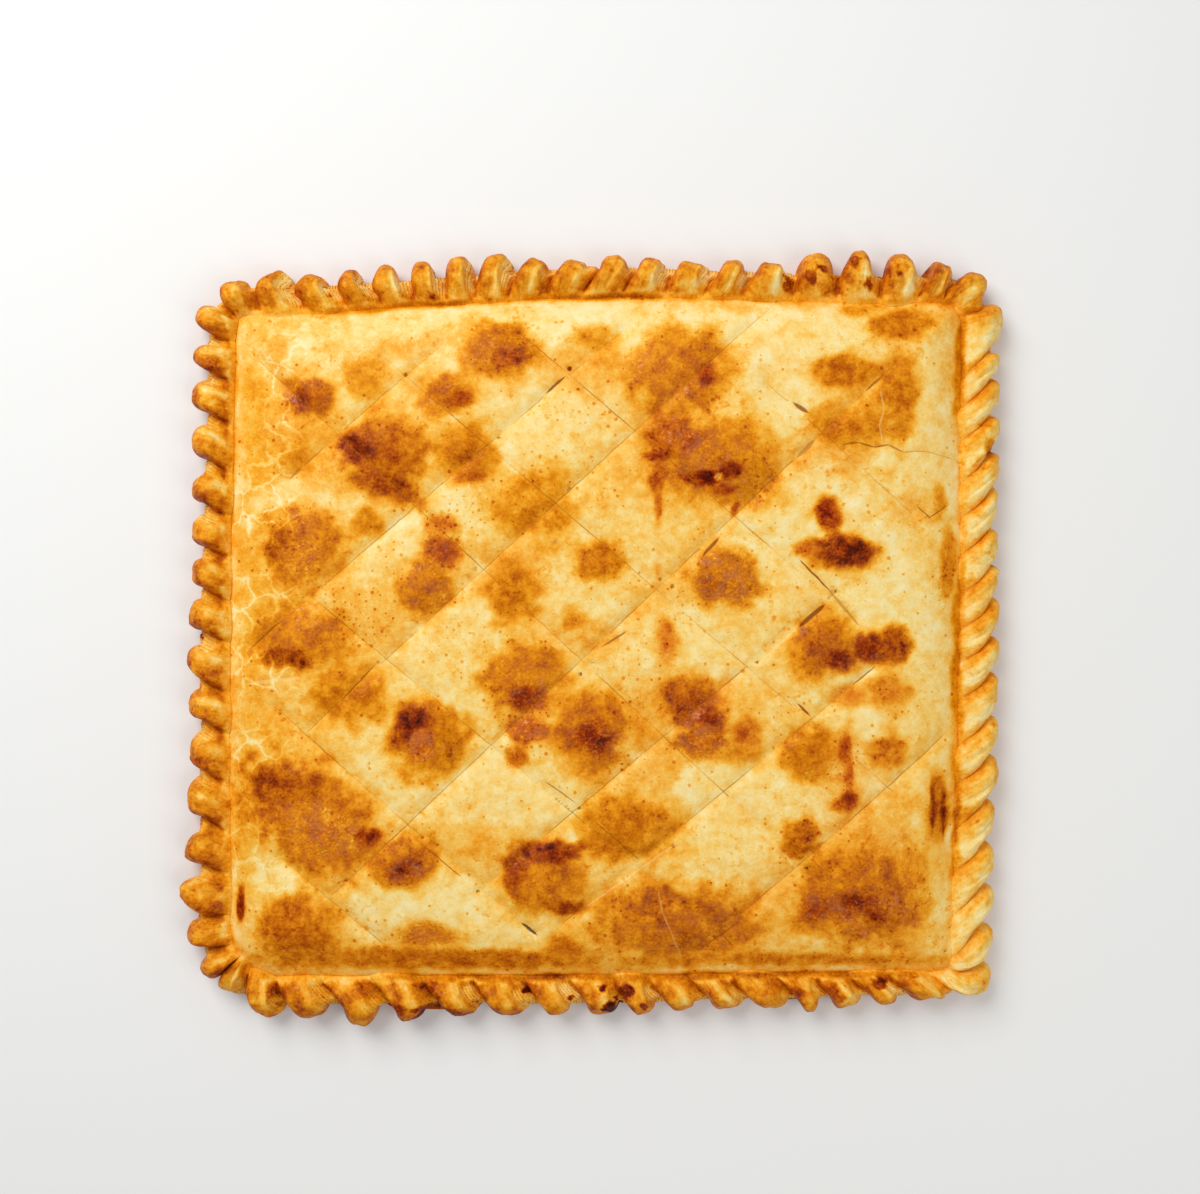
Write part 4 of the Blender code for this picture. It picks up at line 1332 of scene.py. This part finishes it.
    def build(self, finish: bpy.types.Material, lid: Lid) -> bpy.types.Object:
        """Builds the side as one closed tube.

        Args:
            finish: The material of the rope.
            lid: The lid that the rope joins.

        Returns:
            The finished piece.
        """
        turns, sunk = self.turns()
        section = self.section()
        shown_count = (len(RINGS) - 1) * self.shown_rows
        body = bmesh.new()
        columns, rows = len(turns) - 1, len(section) - 1
        bmesh.ops.create_grid(body, x_segments=columns, y_segments=rows, size=1.0)
        grid = np.array([vert.co[:2] for vert in body.verts])
        column = np.rint((grid[:, 0] + 1) / 2 * columns).astype(int)
        row = np.rint((grid[:, 1] + 1) / 2 * rows).astype(int)
        hidden = (row > shown_count) | (row == 0)
        form = self.shape(turns[column], section[row], hidden)
        stand = self.relief(form) - sunk[column]
        stand -= self.inset * smooth_step(2.4, 4.0, form["travel"]) * form["plump"]
        aim = np.column_stack([form["out"] - self.core[0], form["height"] - self.core[1]])
        aim /= np.linalg.norm(aim, axis=1, keepdims=True)
        edge = np.minimum(row, shown_count - row) / self.shown_rows
        stand = np.where(hidden, -sunk[column], stand * np.clip(edge * 1.5, 0, 1))
        out = form["out"] + aim[:, 0] * stand
        height = np.maximum(form["height"] + aim[:, 1] * stand, 0.25)
        places = self.rope.place(form["station"], out)
        move_verts(body, np.column_stack([places, height]))
        order = body.verts.layers.int.new("order")
        for number, vert in enumerate(body.verts):
            vert[order] = number
        bmesh.ops.remove_doubles(body, verts=body.verts, dist=0.002 * MM)
        rims = [edge for edge in body.edges if edge.is_boundary]
        bmesh.ops.holes_fill(body, edges=rims, sides=0)
        bmesh.ops.recalc_face_normals(body, faces=body.faces)
        numbers = np.array([vert[order] for vert in body.verts])
        heat, red, crumbs = self.browning(form, places, lid)
        piece = finish_piece(body, "rope_" + SIDES[self.index].name, finish)
        write_values(piece.data, "browning", (heat[numbers], red[numbers], crumbs[numbers]))
        strand = form["laid"] * form["width"]
        columns_of = (strand[numbers], form["out"][numbers], self.gap_mask(form)[numbers])
        write_values(piece.data, "strand", columns_of)
        return piece


@dataclass
class BottomCrust:
    """The flat bottom crust, whose brown rim shows below the rope."""

    rope: RopeLine
    reach: float = 14.2
    height: float = 4.2
    rounding: float = 1.4
    rim_steps: int = 720
    bulges: tuple[tuple[float, float, float], ...] = ((438, 60, 4.6), (790, 45, 3.2))
    noise: DoughNoise = field(default_factory=lambda: DoughNoise(SEED + 9))

    def build(self, finish: bpy.types.Material) -> bpy.types.Object:
        """Builds the bottom crust.

        Args:
            finish: Its material.

        Returns:
            The finished piece.
        """
        body = bmesh.new()
        bmesh.ops.create_circle(body, cap_ends=True, segments=self.rim_steps, radius=1.0)
        angle = np.array([math.atan2(vert.co.x, vert.co.y) for vert in body.verts])
        station = (angle / (2 * math.pi)) % 1.0 * self.rope.length
        out = self.reach + 0.8 * self.noise.at(np.column_stack([station, station]), 22.0)
        rough = self.rope.place(station, out)
        for middle, half, more in self.bulges:
            x = on_ruler(middle, 0)[0]
            close = np.abs(rough[:, 0] - x) / (half * RULER_STEP)
            out += more * smooth_step(1.0, 0.6, close) * (rough[:, 1] < 0)
        move_verts(body, np.column_stack([self.rope.place(station, out), np.zeros(len(out))]))
        grown = bmesh.ops.extrude_face_region(body, geom=list(body.faces))["geom"]
        upper = [item for item in grown if isinstance(item, bmesh.types.BMVert)]
        bmesh.ops.translate(body, verts=upper, vec=(0, 0, self.height * MM))
        top = self.height * MM * 0.5
        rim = [edge for edge in body.edges if all(vert.co.z > top for vert in edge.verts)]
        bmesh.ops.bevel(body, geom=rim, offset=self.rounding * MM, segments=3, profile=0.5,
                        affect="EDGES", material=-1)
        bmesh.ops.recalc_face_normals(body, faces=body.faces)
        places = np.array([tuple(vert.co) for vert in body.verts]) / MM
        piece = finish_piece(body, "bottom_crust", finish)
        patches = self.noise.layers(places, 26.0, 3)
        heat = np.clip(0.72 + 0.12 * patches, 0, 1)
        red = np.full(len(heat), 0.5)
        write_values(piece.data, "browning", (heat, red, np.full(len(heat), 0.3)))
        strand = (places[:, 0], places[:, 1], np.zeros(len(heat)))
        write_values(piece.data, "strand", strand)
        return piece


class NodeBench:
    """Puts nodes into one node tree and joins them."""

    def __init__(self, tree: bpy.types.NodeTree) -> None:
        """Starts on a tree."""
        self.tree = tree

    def add(self, kind: str, values: dict | None = None, **settings: object) -> bpy.types.Node:
        """Adds a node.

        Args:
            kind: The node's type.
            values: For each input, a socket to join to it or the value that it gets.
            settings: The node's own settings.

        Returns:
            The node.
        """
        node = self.tree.nodes.new(kind)
        for name, setting in settings.items():
            setattr(node, name, setting)
        for name, value in (values or {}).items():
            if isinstance(value, bpy.types.NodeSocket):
                self.tree.links.new(value, node.inputs[name])
            else:
                node.inputs[name].default_value = value
        return node

    def math(self, operation: str, *values: object, clamp: bool = False) -> bpy.types.NodeSocket:
        """A sum of one, two or three numbers or sockets."""
        inputs = dict(enumerate(values))
        return self.add("ShaderNodeMath", inputs, operation=operation, use_clamp=clamp).outputs[0]

    def remap(self, value: object, low: object, high: object, to_low: float = 0.0,
              to_high: float = 1.0) -> bpy.types.NodeSocket:
        """Moves a number softly from one range to another, and keeps it there.

        Args:
            value: The number, or its socket.
            low: Where the first range starts.
            high: Where the first range ends.
            to_low: Where the second range starts.
            to_high: Where the second range ends.

        Returns:
            The socket of the moved number.
        """
        inputs = {0: value, 1: low, 2: high, 3: to_low, 4: to_high}
        node = self.add("ShaderNodeMapRange", inputs, interpolation_type="SMOOTHSTEP")
        return node.outputs[0]

    def mix(self, share: object, first: object, second: object) -> bpy.types.NodeSocket:
        """Mixes two colours."""
        return self.add("ShaderNodeMix", {0: share, 6: first, 7: second},
                        data_type="RGBA").outputs[2]

    def group(self, tree: bpy.types.NodeTree, **values: object) -> object:
        """Adds a node group, with its inputs by name, and gives its outputs."""
        return self.add("ShaderNodeGroup", values, node_tree=tree).outputs

    def ramp(self, value: object, stops: Sequence) -> bpy.types.NodeSocket:
        """Turns a number into a colour.

        Args:
            value: The number, or its socket.
            stops: Pairs of a place from 0 to 1 and a colour as six hexadecimal digits.

        Returns:
            The colour's socket.
        """
        node = self.add("ShaderNodeValToRGB", {0: value})
        ramp = node.color_ramp
        while len(ramp.elements) < len(stops):
            ramp.elements.new(1.0)
        for element, (place, colour) in zip(ramp.elements, stops):
            element.position = place
            element.color = linear(colour)
        return node.outputs[0]

    def noise(self, place: bpy.types.NodeSocket, size: float, detail: float = 3.0,
              roughness: float = 0.55) -> bpy.types.NodeSocket:
        """Noise whose lumps have the given size in millimetres."""
        inputs = {"Vector": place, "Scale": 1 / (size * MM), "Detail": detail,
                  "Roughness": roughness}
        return self.add("ShaderNodeTexNoise", inputs).outputs[0]

    def swing(self, *noise: object) -> bpy.types.NodeSocket:
        """Noise that swings round 0, from what noise takes."""
        return self.math("SUBTRACT", self.noise(*noise), 0.5)

    def patches(self, low: float, high: float, *noise: object) -> bpy.types.NodeSocket:
        """Soft patches, where noise rises from low to high, from what noise takes."""
        return self.remap(self.noise(*noise), low, high)

    def parts(self, attribute: str) -> list[bpy.types.NodeSocket]:
        """Splits one of the piece's own attributes into its three values.

        Args:
            attribute: The attribute's name.

        Returns:
            The three sockets.
        """
        node = self.add("ShaderNodeAttribute", attribute_name=attribute)
        split = self.add("ShaderNodeSeparateXYZ", {0: node.outputs["Vector"]})
        return list(split.outputs)


def linear(colour: str) -> tuple[float, float, float, float]:
    """Turns six hexadecimal digits into a linear colour.

    Args:
        colour: The six digits.

    Returns:
        Red, green, blue and 1, each from 0 to 1.
    """
    shares = [int(colour[index:index + 2], 16) / 255 for index in (0, 2, 4)]
    bright = [share / 12.92 if share <= 0.04045 else ((share + 0.055) / 1.055) ** 2.4
              for share in shares]
    return (*bright, 1.0)


TAN_BROWNING = (
    (0.0, "FFEEB4"), (0.10, "FFE08A"), (0.20, "FECA5A"), (0.31, "FAB32F"), (0.42, "EE9910"),
    (0.52, "DA8306"), (0.61, "C66E03"), (0.70, "AC5201"), (0.80, "8A3602"), (0.90, "5C1C02"),
    (1.0, "340D02"),
)
RED_BROWNING = (
    (0.0, "FFEBAC"), (0.10, "FFD886"), (0.20, "FDBE56"), (0.31, "F6A132"), (0.42, "E88420"),
    (0.52, "D06410"), (0.61, "BA4A09"), (0.70, "9E3205"), (0.80, "7E2003"), (0.90, "561203"),
    (1.0, "300A03"),
)
# The milky pink of the painted sheen on the egg glaze.
GLAZE_SHEEN_TINT = "F6B26A"
SCORE_TONES = (
    (0.0, "FFE6A0"), (0.3, "C08A34"), (0.5, "B0640F"), (0.72, "8C3C08"), (1.0, "2E0F05"))


def new_group(name: str, inputs: Sequence, outputs: Sequence) -> tuple[NodeBench, dict, dict]:
    """Starts a shader node group.

    Args:
        name: The group's name.
        inputs: Pairs of a name and a kind of socket, such as Float, Vector or Color.
        outputs: The same for what it puts out.

    Returns:
        Its bench, its inputs' sockets by name, and the sockets that take its outputs.
    """
    tree = bpy.data.node_groups.new(name, "ShaderNodeTree")
    for way, sockets in (("INPUT", inputs), ("OUTPUT", outputs)):
        for socket, kind in sockets:
            tree.interface.new_socket(socket, in_out=way, socket_type="NodeSocket" + kind)
    bench = NodeBench(tree)
    entry = bench.add("NodeGroupInput")
    leave = bench.add("NodeGroupOutput")
    given = {socket: entry.outputs[socket] for socket, _ in inputs}
    return bench, given, {socket: leave.inputs[socket] for socket, _ in outputs}


def oven_colour_group() -> bpy.types.NodeTree:
    """Turns heat and redness into the colour of the baked dough, with its fine mottling.

    Returns:
        The node group.
    """
    bench, given, taken = new_group(
        "oven_colour", (("Heat", "Float"), ("Red", "Float"), ("Place", "Vector")),
        (("Colour", "Color"),))
    place = given["Place"]
    coarse = bench.swing(place, 5.0, 4.0, 0.6)
    fine = bench.swing(place, 1.3, 3.0, 0.6)
    broad = bench.swing(place, 10.0, 3.0, 0.6)
    reach = bench.math("MULTIPLY_ADD", given["Heat"], 0.42, 0.15)
    dabs = bench.math("MULTIPLY", bench.patches(0.56, 0.72, place, 3.4, 2.0),
                      bench.patches(0.42, 0.62, place, 22.0, 2.0))
    grit = bench.math("MULTIPLY", bench.patches(0.58, 0.74, place, 0.9, 2.0, 0.7),
                      bench.patches(0.44, 0.60, place, 12.0, 3.0))
    heat = given["Heat"]
    for part, strength in ((coarse, reach), (fine, reach), (dabs, 0.15), (grit, 0.11)):
        heat = bench.math("MULTIPLY_ADD", part, strength, heat)
    heat = bench.math("MULTIPLY_ADD", broad, 0.24, heat, clamp=True)
    red = bench.math("MULTIPLY_ADD", coarse, 0.5, given["Red"])
    red = bench.math("MULTIPLY_ADD", dabs, 0.3, red, clamp=True)
    colour = bench.mix(red, bench.ramp(heat, TAN_BROWNING), bench.ramp(heat, RED_BROWNING))
    bench.tree.links.new(colour, taken["Colour"])
    return bench.tree


def oven_specks_group() -> bpy.types.NodeTree:
    """Small bubbles that burst in the oven and left brown rings.

    Returns:
        The node group.
    """
    bench, given, taken = new_group(
        "oven_specks", (("Place", "Vector"), ("Density", "Float")),
        (("Spots", "Float"), ("Height", "Float")))
    cells = bench.add("ShaderNodeTexVoronoi", {"Vector": given["Place"], "Scale": 1 / (3.5 * MM)},
                      voronoi_dimensions="2D")
    pick = bench.add("ShaderNodeSeparateColor", {0: cells.outputs["Color"]})
    chosen = bench.math("LESS_THAN", pick.outputs[0], given["Density"])
    size = bench.math("MULTIPLY_ADD", bench.math("POWER", pick.outputs[1], 2.0), 0.19, 0.10)
    disc = bench.remap(cells.outputs["Distance"], size, bench.math("MULTIPLY", size, 0.7))
    hollow = bench.remap(cells.outputs["Distance"], bench.math("MULTIPLY", size, 0.5),
                         bench.math("MULTIPLY", size, 0.2), 0.0, 0.3)
    ring = bench.math("MULTIPLY", bench.math("SUBTRACT", disc, hollow), chosen)
    bench.tree.links.new(ring, taken["Spots"])
    bench.tree.links.new(bench.math("MULTIPLY", ring, 0.12), taken["Height"])
    return bench.tree


def dough_grain_group() -> bpy.types.NodeTree:
    """The fine skin of the baked dough, with grains where it is roasted most.

    Returns:
        The node group.
    """
    bench, given, taken = new_group(
        "dough_grain", (("Place", "Vector"), ("Crumbs", "Float")), (("Height", "Float"),))
    skin = bench.math("MULTIPLY", bench.noise(given["Place"], 2.6, 6.0, 0.68), 0.55)
    skin = bench.math("MULTIPLY_ADD", bench.noise(given["Place"], 7.0, 2.0), 0.5, skin)
    grains = bench.add("ShaderNodeTexVoronoi", {"Vector": given["Place"], "Scale": 1 / (1.5 * MM)})
    rough = bench.math("MULTIPLY", grains.outputs["Distance"], given["Crumbs"])
    bench.tree.links.new(bench.math("MULTIPLY_ADD", rough, -0.8, skin), taken["Height"])
    return bench.tree


@dataclass(frozen=True)
class CrustFinish:
    """A finish of baked, egg-washed dough. Sizes are in millimetres."""

    name: str
    scored: bool = False
    stranded: bool = False
    roughness: float = 0.57
    glaze: float = 0.6
    glaze_sheen: float = 0.20
    bump: float = 0.6
    coat_roughness: float = 0.15
    specular: float = 0.05
    vein_size: float = 12.0
    vein_bend: float = 12.0
    vein_heat: float = -0.17
    speck_heat: float = 0.22
    speck_red: float = 0.35
    streak_heat: float = 0.30
    layer_crevice_shade: float = 0.36
    # How much paler the painted glint flecks make the dough.
    painted_glint_heat: float = -0.15
    score_cover: float = 0.86
    score_depth: float = 0.25
    hole_depth: float = 0.8

    def veins_and_specks(self, bench: NodeBench, specks: bpy.types.NodeTree,
                         place: bpy.types.NodeSocket, heat: bpy.types.NodeSocket,
                         red: bpy.types.NodeSocket) -> tuple[bpy.types.NodeSocket, ...]:
        """The pale veins and the burst bubbles of the lid.

        Args:
            bench: The material's bench.
            specks: The node group of the burst bubbles.
            place: The place on the piece.
            heat: How hot it got.
            red: How red it got.

        Returns:
            The new heat, the new redness and a height.
        """
        veins = bench.parts("pit")[2]
        density = bench.parts("score_tone")[2]
        bend = bench.add("ShaderNodeTexNoise", {"Vector": place, "Scale": 110.0, "Detail": 3.0})
        reach = (self.vein_bend * MM,) * 3
        lay = bench.add("ShaderNodeVectorMath", {0: bend.outputs["Color"], 1: reach, 2: place},
                        operation="MULTIPLY_ADD")
        net = bench.add("ShaderNodeTexVoronoi",
                        {"Vector": lay.outputs[0], "Scale": 1 / (self.vein_size * MM)},
                        feature="DISTANCE_TO_EDGE", voronoi_dimensions="2D")
        vein = bench.math("MULTIPLY", bench.remap(net.outputs["Distance"], 0.10, 0.0), veins)
        heat = bench.math("MULTIPLY_ADD", vein, self.vein_heat, heat)
        bubbles = bench.group(specks, Place=place, Density=density)
        spots = bench.math("MULTIPLY", bubbles["Spots"], bench.remap(heat, 0.35, 0.65, 1.0, 0.15))
        heat = bench.math("MULTIPLY_ADD", spots, self.speck_heat, heat)
        red = bench.math("MULTIPLY_ADD", spots, self.speck_red, red)
        return heat, red, bubbles["Height"]

    def strands(self, bench: NodeBench, heat: bpy.types.NodeSocket) -> tuple:
        """The streaks of the folded dough, and its cut layers where they show, darkened by painted
        shade in the crevices and holes between the layers.

        Args:
            bench: The material's bench.
            heat: How hot the place got.

        Returns:
            The new heat and a height.
        """
        across, out, gaps = bench.parts("strand")
        lay = bench.add("ShaderNodeCombineXYZ", {0: across, 1: bench.math("MULTIPLY", out, 0.22)})
        streak = bench.add("ShaderNodeTexNoise", {"Vector": lay.outputs[0], "Scale": 0.9,
                                                  "Detail": 4.0, "Roughness": 0.6})
        streaks = bench.math("SUBTRACT", streak.outputs[0], 0.5)
        heat = bench.math("MULTIPLY_ADD", streaks, self.streak_heat, heat)
        wave, crevice_holes = (
            bench.math("SINE", bench.math("MULTIPLY_ADD", way, pace,
                                          bench.math("MULTIPLY", streaks, bend)))
            for way, pace, bend in ((across, 4.6, 6.0), (out, 4.0, 9.0)))
        # Painted shade: thin dark lines and dark holes between the layers of the gap.
        line = bench.math("MULTIPLY", bench.remap(wave, 0.6, 0.97), gaps)
        line = bench.math("MULTIPLY", line, bench.remap(crevice_holes, -0.5, 0.6, 0.25, 1.0))
        heat = bench.math("MULTIPLY_ADD", line, self.layer_crevice_shade, heat)
        return heat, bench.math("MULTIPLY_ADD", line, -0.4, bench.math("MULTIPLY", streaks, 0.5))

    def knife_marks(self, bench: NodeBench, place: bpy.types.NodeSocket,
                    base: bpy.types.NodeSocket, height: bpy.types.NodeSocket) -> tuple:
        """Draws the cuts, the slits and the holes of the lid.

        Args:
            bench: The material's bench.
            place: The place on the piece.
            base: The colour without them.
            height: The height without them.

        Returns:
            The colour and the height with them.
        """
        wobble = bench.math("MULTIPLY_ADD", bench.noise(place, 6.0, 3.0), 0.9, -0.45)
        for name, tone in zip(("rising_score", "falling_score"), bench.parts("score_tone")):
            gap, width, depth = bench.parts(name)
            away = bench.math("ABSOLUTE", bench.math("ADD", gap, wobble))
            mask = bench.remap(away, bench.math("MULTIPLY", width, 1.5),
                               bench.math("MULTIPLY", width, 0.6))
            mask = bench.math("MULTIPLY", mask, depth)
            cover = bench.math("MULTIPLY", mask, self.score_cover)
            base = bench.mix(cover, base, bench.ramp(tone, SCORE_TONES))
            height = bench.math("MULTIPLY_ADD", mask, -self.score_depth, height)
        inside, tone, _ = bench.parts("pit")
        hole = bench.remap(inside, -0.25, 0.35)
        base = bench.mix(hole, base, bench.ramp(tone, SCORE_TONES))
        return base, bench.math("MULTIPLY_ADD", hole, -self.hole_depth, height)

    def build(self, groups: dict[str, bpy.types.NodeTree]) -> bpy.types.Material:
        """Builds the material.

        Args:
            groups: The shared node groups by name.

        Returns:
            The material.
        """
        material = bpy.data.materials.new(self.name)
        material.use_nodes = True
        bench = NodeBench(material.node_tree)
        place = bench.add("ShaderNodeTexCoord").outputs["Object"]
        heat, red, crumbs = bench.parts("browning")
        height = 0.0
        if self.scored:
            heat, red, height = self.veins_and_specks(
                bench, groups["oven_specks"], place, heat, red)
        if self.stranded:
            heat, height = self.strands(bench, heat)
        # Painted highlights: small flecks on crumbly places are made paler, and their glaze coat
        # is raised.
        glint_flecks = bench.math("MULTIPLY", bench.patches(0.54, 0.68, place, 1.8, 3.0), crumbs)
        heat = bench.math("MULTIPLY_ADD", glint_flecks, self.painted_glint_heat, heat)
        # Painted sheen: a milky pink is mixed into the colour on crumbly patches, where the egg
        # glaze shines.
        glaze_sheen = bench.math("MULTIPLY", bench.patches(0.44, 0.62, place, 5.0, 4.0, 0.7), crumbs)
        glaze_sheen = bench.math("MULTIPLY", glaze_sheen, bench.remap(heat, 0.40, 0.55, 0.0, self.glaze_sheen))
        glaze_sheen = bench.math("MULTIPLY", glaze_sheen, bench.remap(heat, 0.62, 0.76, 1.0, 0.1))
        baked = bench.group(groups["oven_colour"], Heat=heat, Red=red, Place=place)
        base = bench.mix(glaze_sheen, baked["Colour"], linear(GLAZE_SHEEN_TINT))
        grain = bench.group(groups["dough_grain"], Place=place, Crumbs=crumbs)
        height = bench.math("ADD", height, grain["Height"])
        if self.scored:
            base, height = self.knife_marks(bench, place, base, height)
        patchy = bench.noise(place, 16.0, 3.0)
        rough = bench.math("MULTIPLY_ADD", patchy, -0.22, self.roughness)
        rough = bench.math("MULTIPLY_ADD", crumbs, -0.10, rough)
        glaze = bench.math("MULTIPLY", bench.patches(0.58, 0.70, place, 3.0, 3.0),
                           bench.remap(patchy, 0.4, 0.65, 0.1, self.glaze))
        glaze = bench.math("MULTIPLY_ADD", glint_flecks, 0.6 * self.glaze, glaze, clamp=True)
        bump = bench.add("ShaderNodeBump",
                         {"Height": height, "Distance": MM, "Strength": self.bump})
        shader = material.node_tree.nodes["Principled BSDF"].inputs
        shader["Coat Roughness"].default_value = self.coat_roughness
        shader["Specular IOR Level"].default_value = self.specular
        for socket, name in ((base, "Base Color"), (rough, "Roughness"), (glaze, "Coat Weight"),
                             (bump.outputs[0], "Normal")):
            bench.tree.links.new(socket, shader[name])
        return material


@dataclass(frozen=True)
class Lamp:
    """A square soft lamp: its place and width in metres, and its power in watts."""

    name: str
    place: tuple[float, float, float]
    power: float
    size: float = 0.9

    def build(self) -> None:
        """Hangs the lamp, turned to the pastry."""
        lamp = bpy.data.lights.new(self.name, "AREA")
        lamp.shape = "SQUARE"
        lamp.size = self.size
        lamp.energy = self.power
        hung = bpy.data.objects.new(self.name, lamp)
        hung.location = self.place
        hung.rotation_euler = (-Vector(self.place)).to_track_quat("-Z", "Y").to_euler()
        bpy.context.scene.collection.objects.link(hung)


@dataclass(frozen=True)
class Studio:
    """The plain pale floor, the soft lights and the camera straight above."""

    floor_colour: str = "F6F6F4"
    floor_size: float = 6.0
    camera_height: float = 0.70
    camera_x: float = 4.1
    camera_y: float = 19.5
    view_width: float = 0.564
    rope_level: float = 0.0096
    roll: float = 0.4
    sensor: float = 36.0
    sky: float = 0.33
    lamps: tuple[Lamp, ...] = (
        Lamp("key_lamp", (-0.62, 0.78, 1.05), 14.5), Lamp("fill_lamp", (0.75, -0.50, 1.10), 4.5),
    )

    def build(self) -> None:
        """Sets up the floor, the lights and the camera."""
        body = bmesh.new()
        bmesh.ops.create_grid(body, x_segments=1, y_segments=1, size=self.floor_size / 2)
        mesh = bpy.data.meshes.new("floor")
        body.to_mesh(mesh)
        body.free()
        paint = bpy.data.materials.new("floor_paint")
        paint.use_nodes = True
        shader = paint.node_tree.nodes["Principled BSDF"]
        shader.inputs["Base Color"].default_value = linear(self.floor_colour)
        shader.inputs["Roughness"].default_value = 0.8
        mesh.materials.append(paint)
        floor = bpy.data.objects.new("floor", mesh)
        bpy.context.scene.collection.objects.link(floor)
        for lamp in self.lamps:
            lamp.build()
        sky = bpy.data.worlds.new("soft_sky")
        sky.use_nodes = True
        sky.node_tree.nodes["Background"].inputs["Color"].default_value = (1, 1, 1, 1)
        sky.node_tree.nodes["Background"].inputs["Strength"].default_value = self.sky
        bpy.context.scene.world = sky
        bpy.context.scene.view_settings.view_transform = "Standard"
        camera = bpy.data.cameras.new("camera")
        camera.sensor_width = self.sensor
        camera.lens = self.sensor * (self.camera_height - self.rope_level) / self.view_width
        camera.clip_start = 0.01
        stand = bpy.data.objects.new("camera", camera)
        stand.location = (self.camera_x * MM, self.camera_y * MM, self.camera_height)
        stand.rotation_euler = (0, 0, math.radians(self.roll))
        bpy.context.scene.collection.objects.link(stand)
        bpy.context.scene.camera = stand


# Burnt places on the rope: the middle and size on the ruler, and the heat.
FAR_BURNS = (
    (806, 281, 8, 0.74), (816, 270, 6, 0.72), (786, 284, 6, 0.70), (850, 264, 6, 0.72),
    (880, 271, 5, 0.70), (862, 286, 5, 0.72), (830, 290, 5, 0.68), (893, 276, 4, 0.84),
    (433, 303, 7, 0.80), (330, 300, 3, 0.70),
)
NEAR_BURNS = (
    (606, 984, 6, 0.88), (628, 985, 7, 0.90), (615, 1004, 9, 0.97), (645, 1000, 5, 0.82),
    (530, 988, 4, 0.92), (797, 969, 6, 0.80), (797, 986, 7, 0.68), (834, 984, 8, 0.70),
    (879, 974, 9, 0.74), (913, 968, 6, 0.66), (573, 995, 3, 0.80), (430, 1012, 10, 0.80),
    (404, 1004, 7, 0.76), (460, 1012, 8, 0.76),
)
LEFT_BURNS = ((200, 638, 5, 0.80), (232, 726, 4, 0.78), (229, 690, 4, 0.78))


def main() -> None:
    """Builds the pastry piece by piece on its frame."""
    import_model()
    groups = {"oven_colour": oven_colour_group(), "oven_specks": oven_specks_group(),
              "dough_grain": dough_grain_group()}
    lid_finish = CrustFinish("blistered_lid", scored=True).build(groups)
    rope_finish = CrustFinish("folded_rope", stranded=True, glaze=0.4).build(groups)
    bottom_finish = CrustFinish("dark_bottom", stranded=True, glaze=0.1).build(groups)
    rope = RopeLine()
    lid = Lid(rope)
    lid.build(lid_finish)
    for index, burnt in enumerate((FAR_BURNS, (), NEAR_BURNS, LEFT_BURNS)):
        RopeSide(rope, index, burnt=burnt).build(rope_finish, lid)
    BottomCrust(rope).build(bottom_finish)
    Studio().build()


if __name__ == "__main__":
    main()
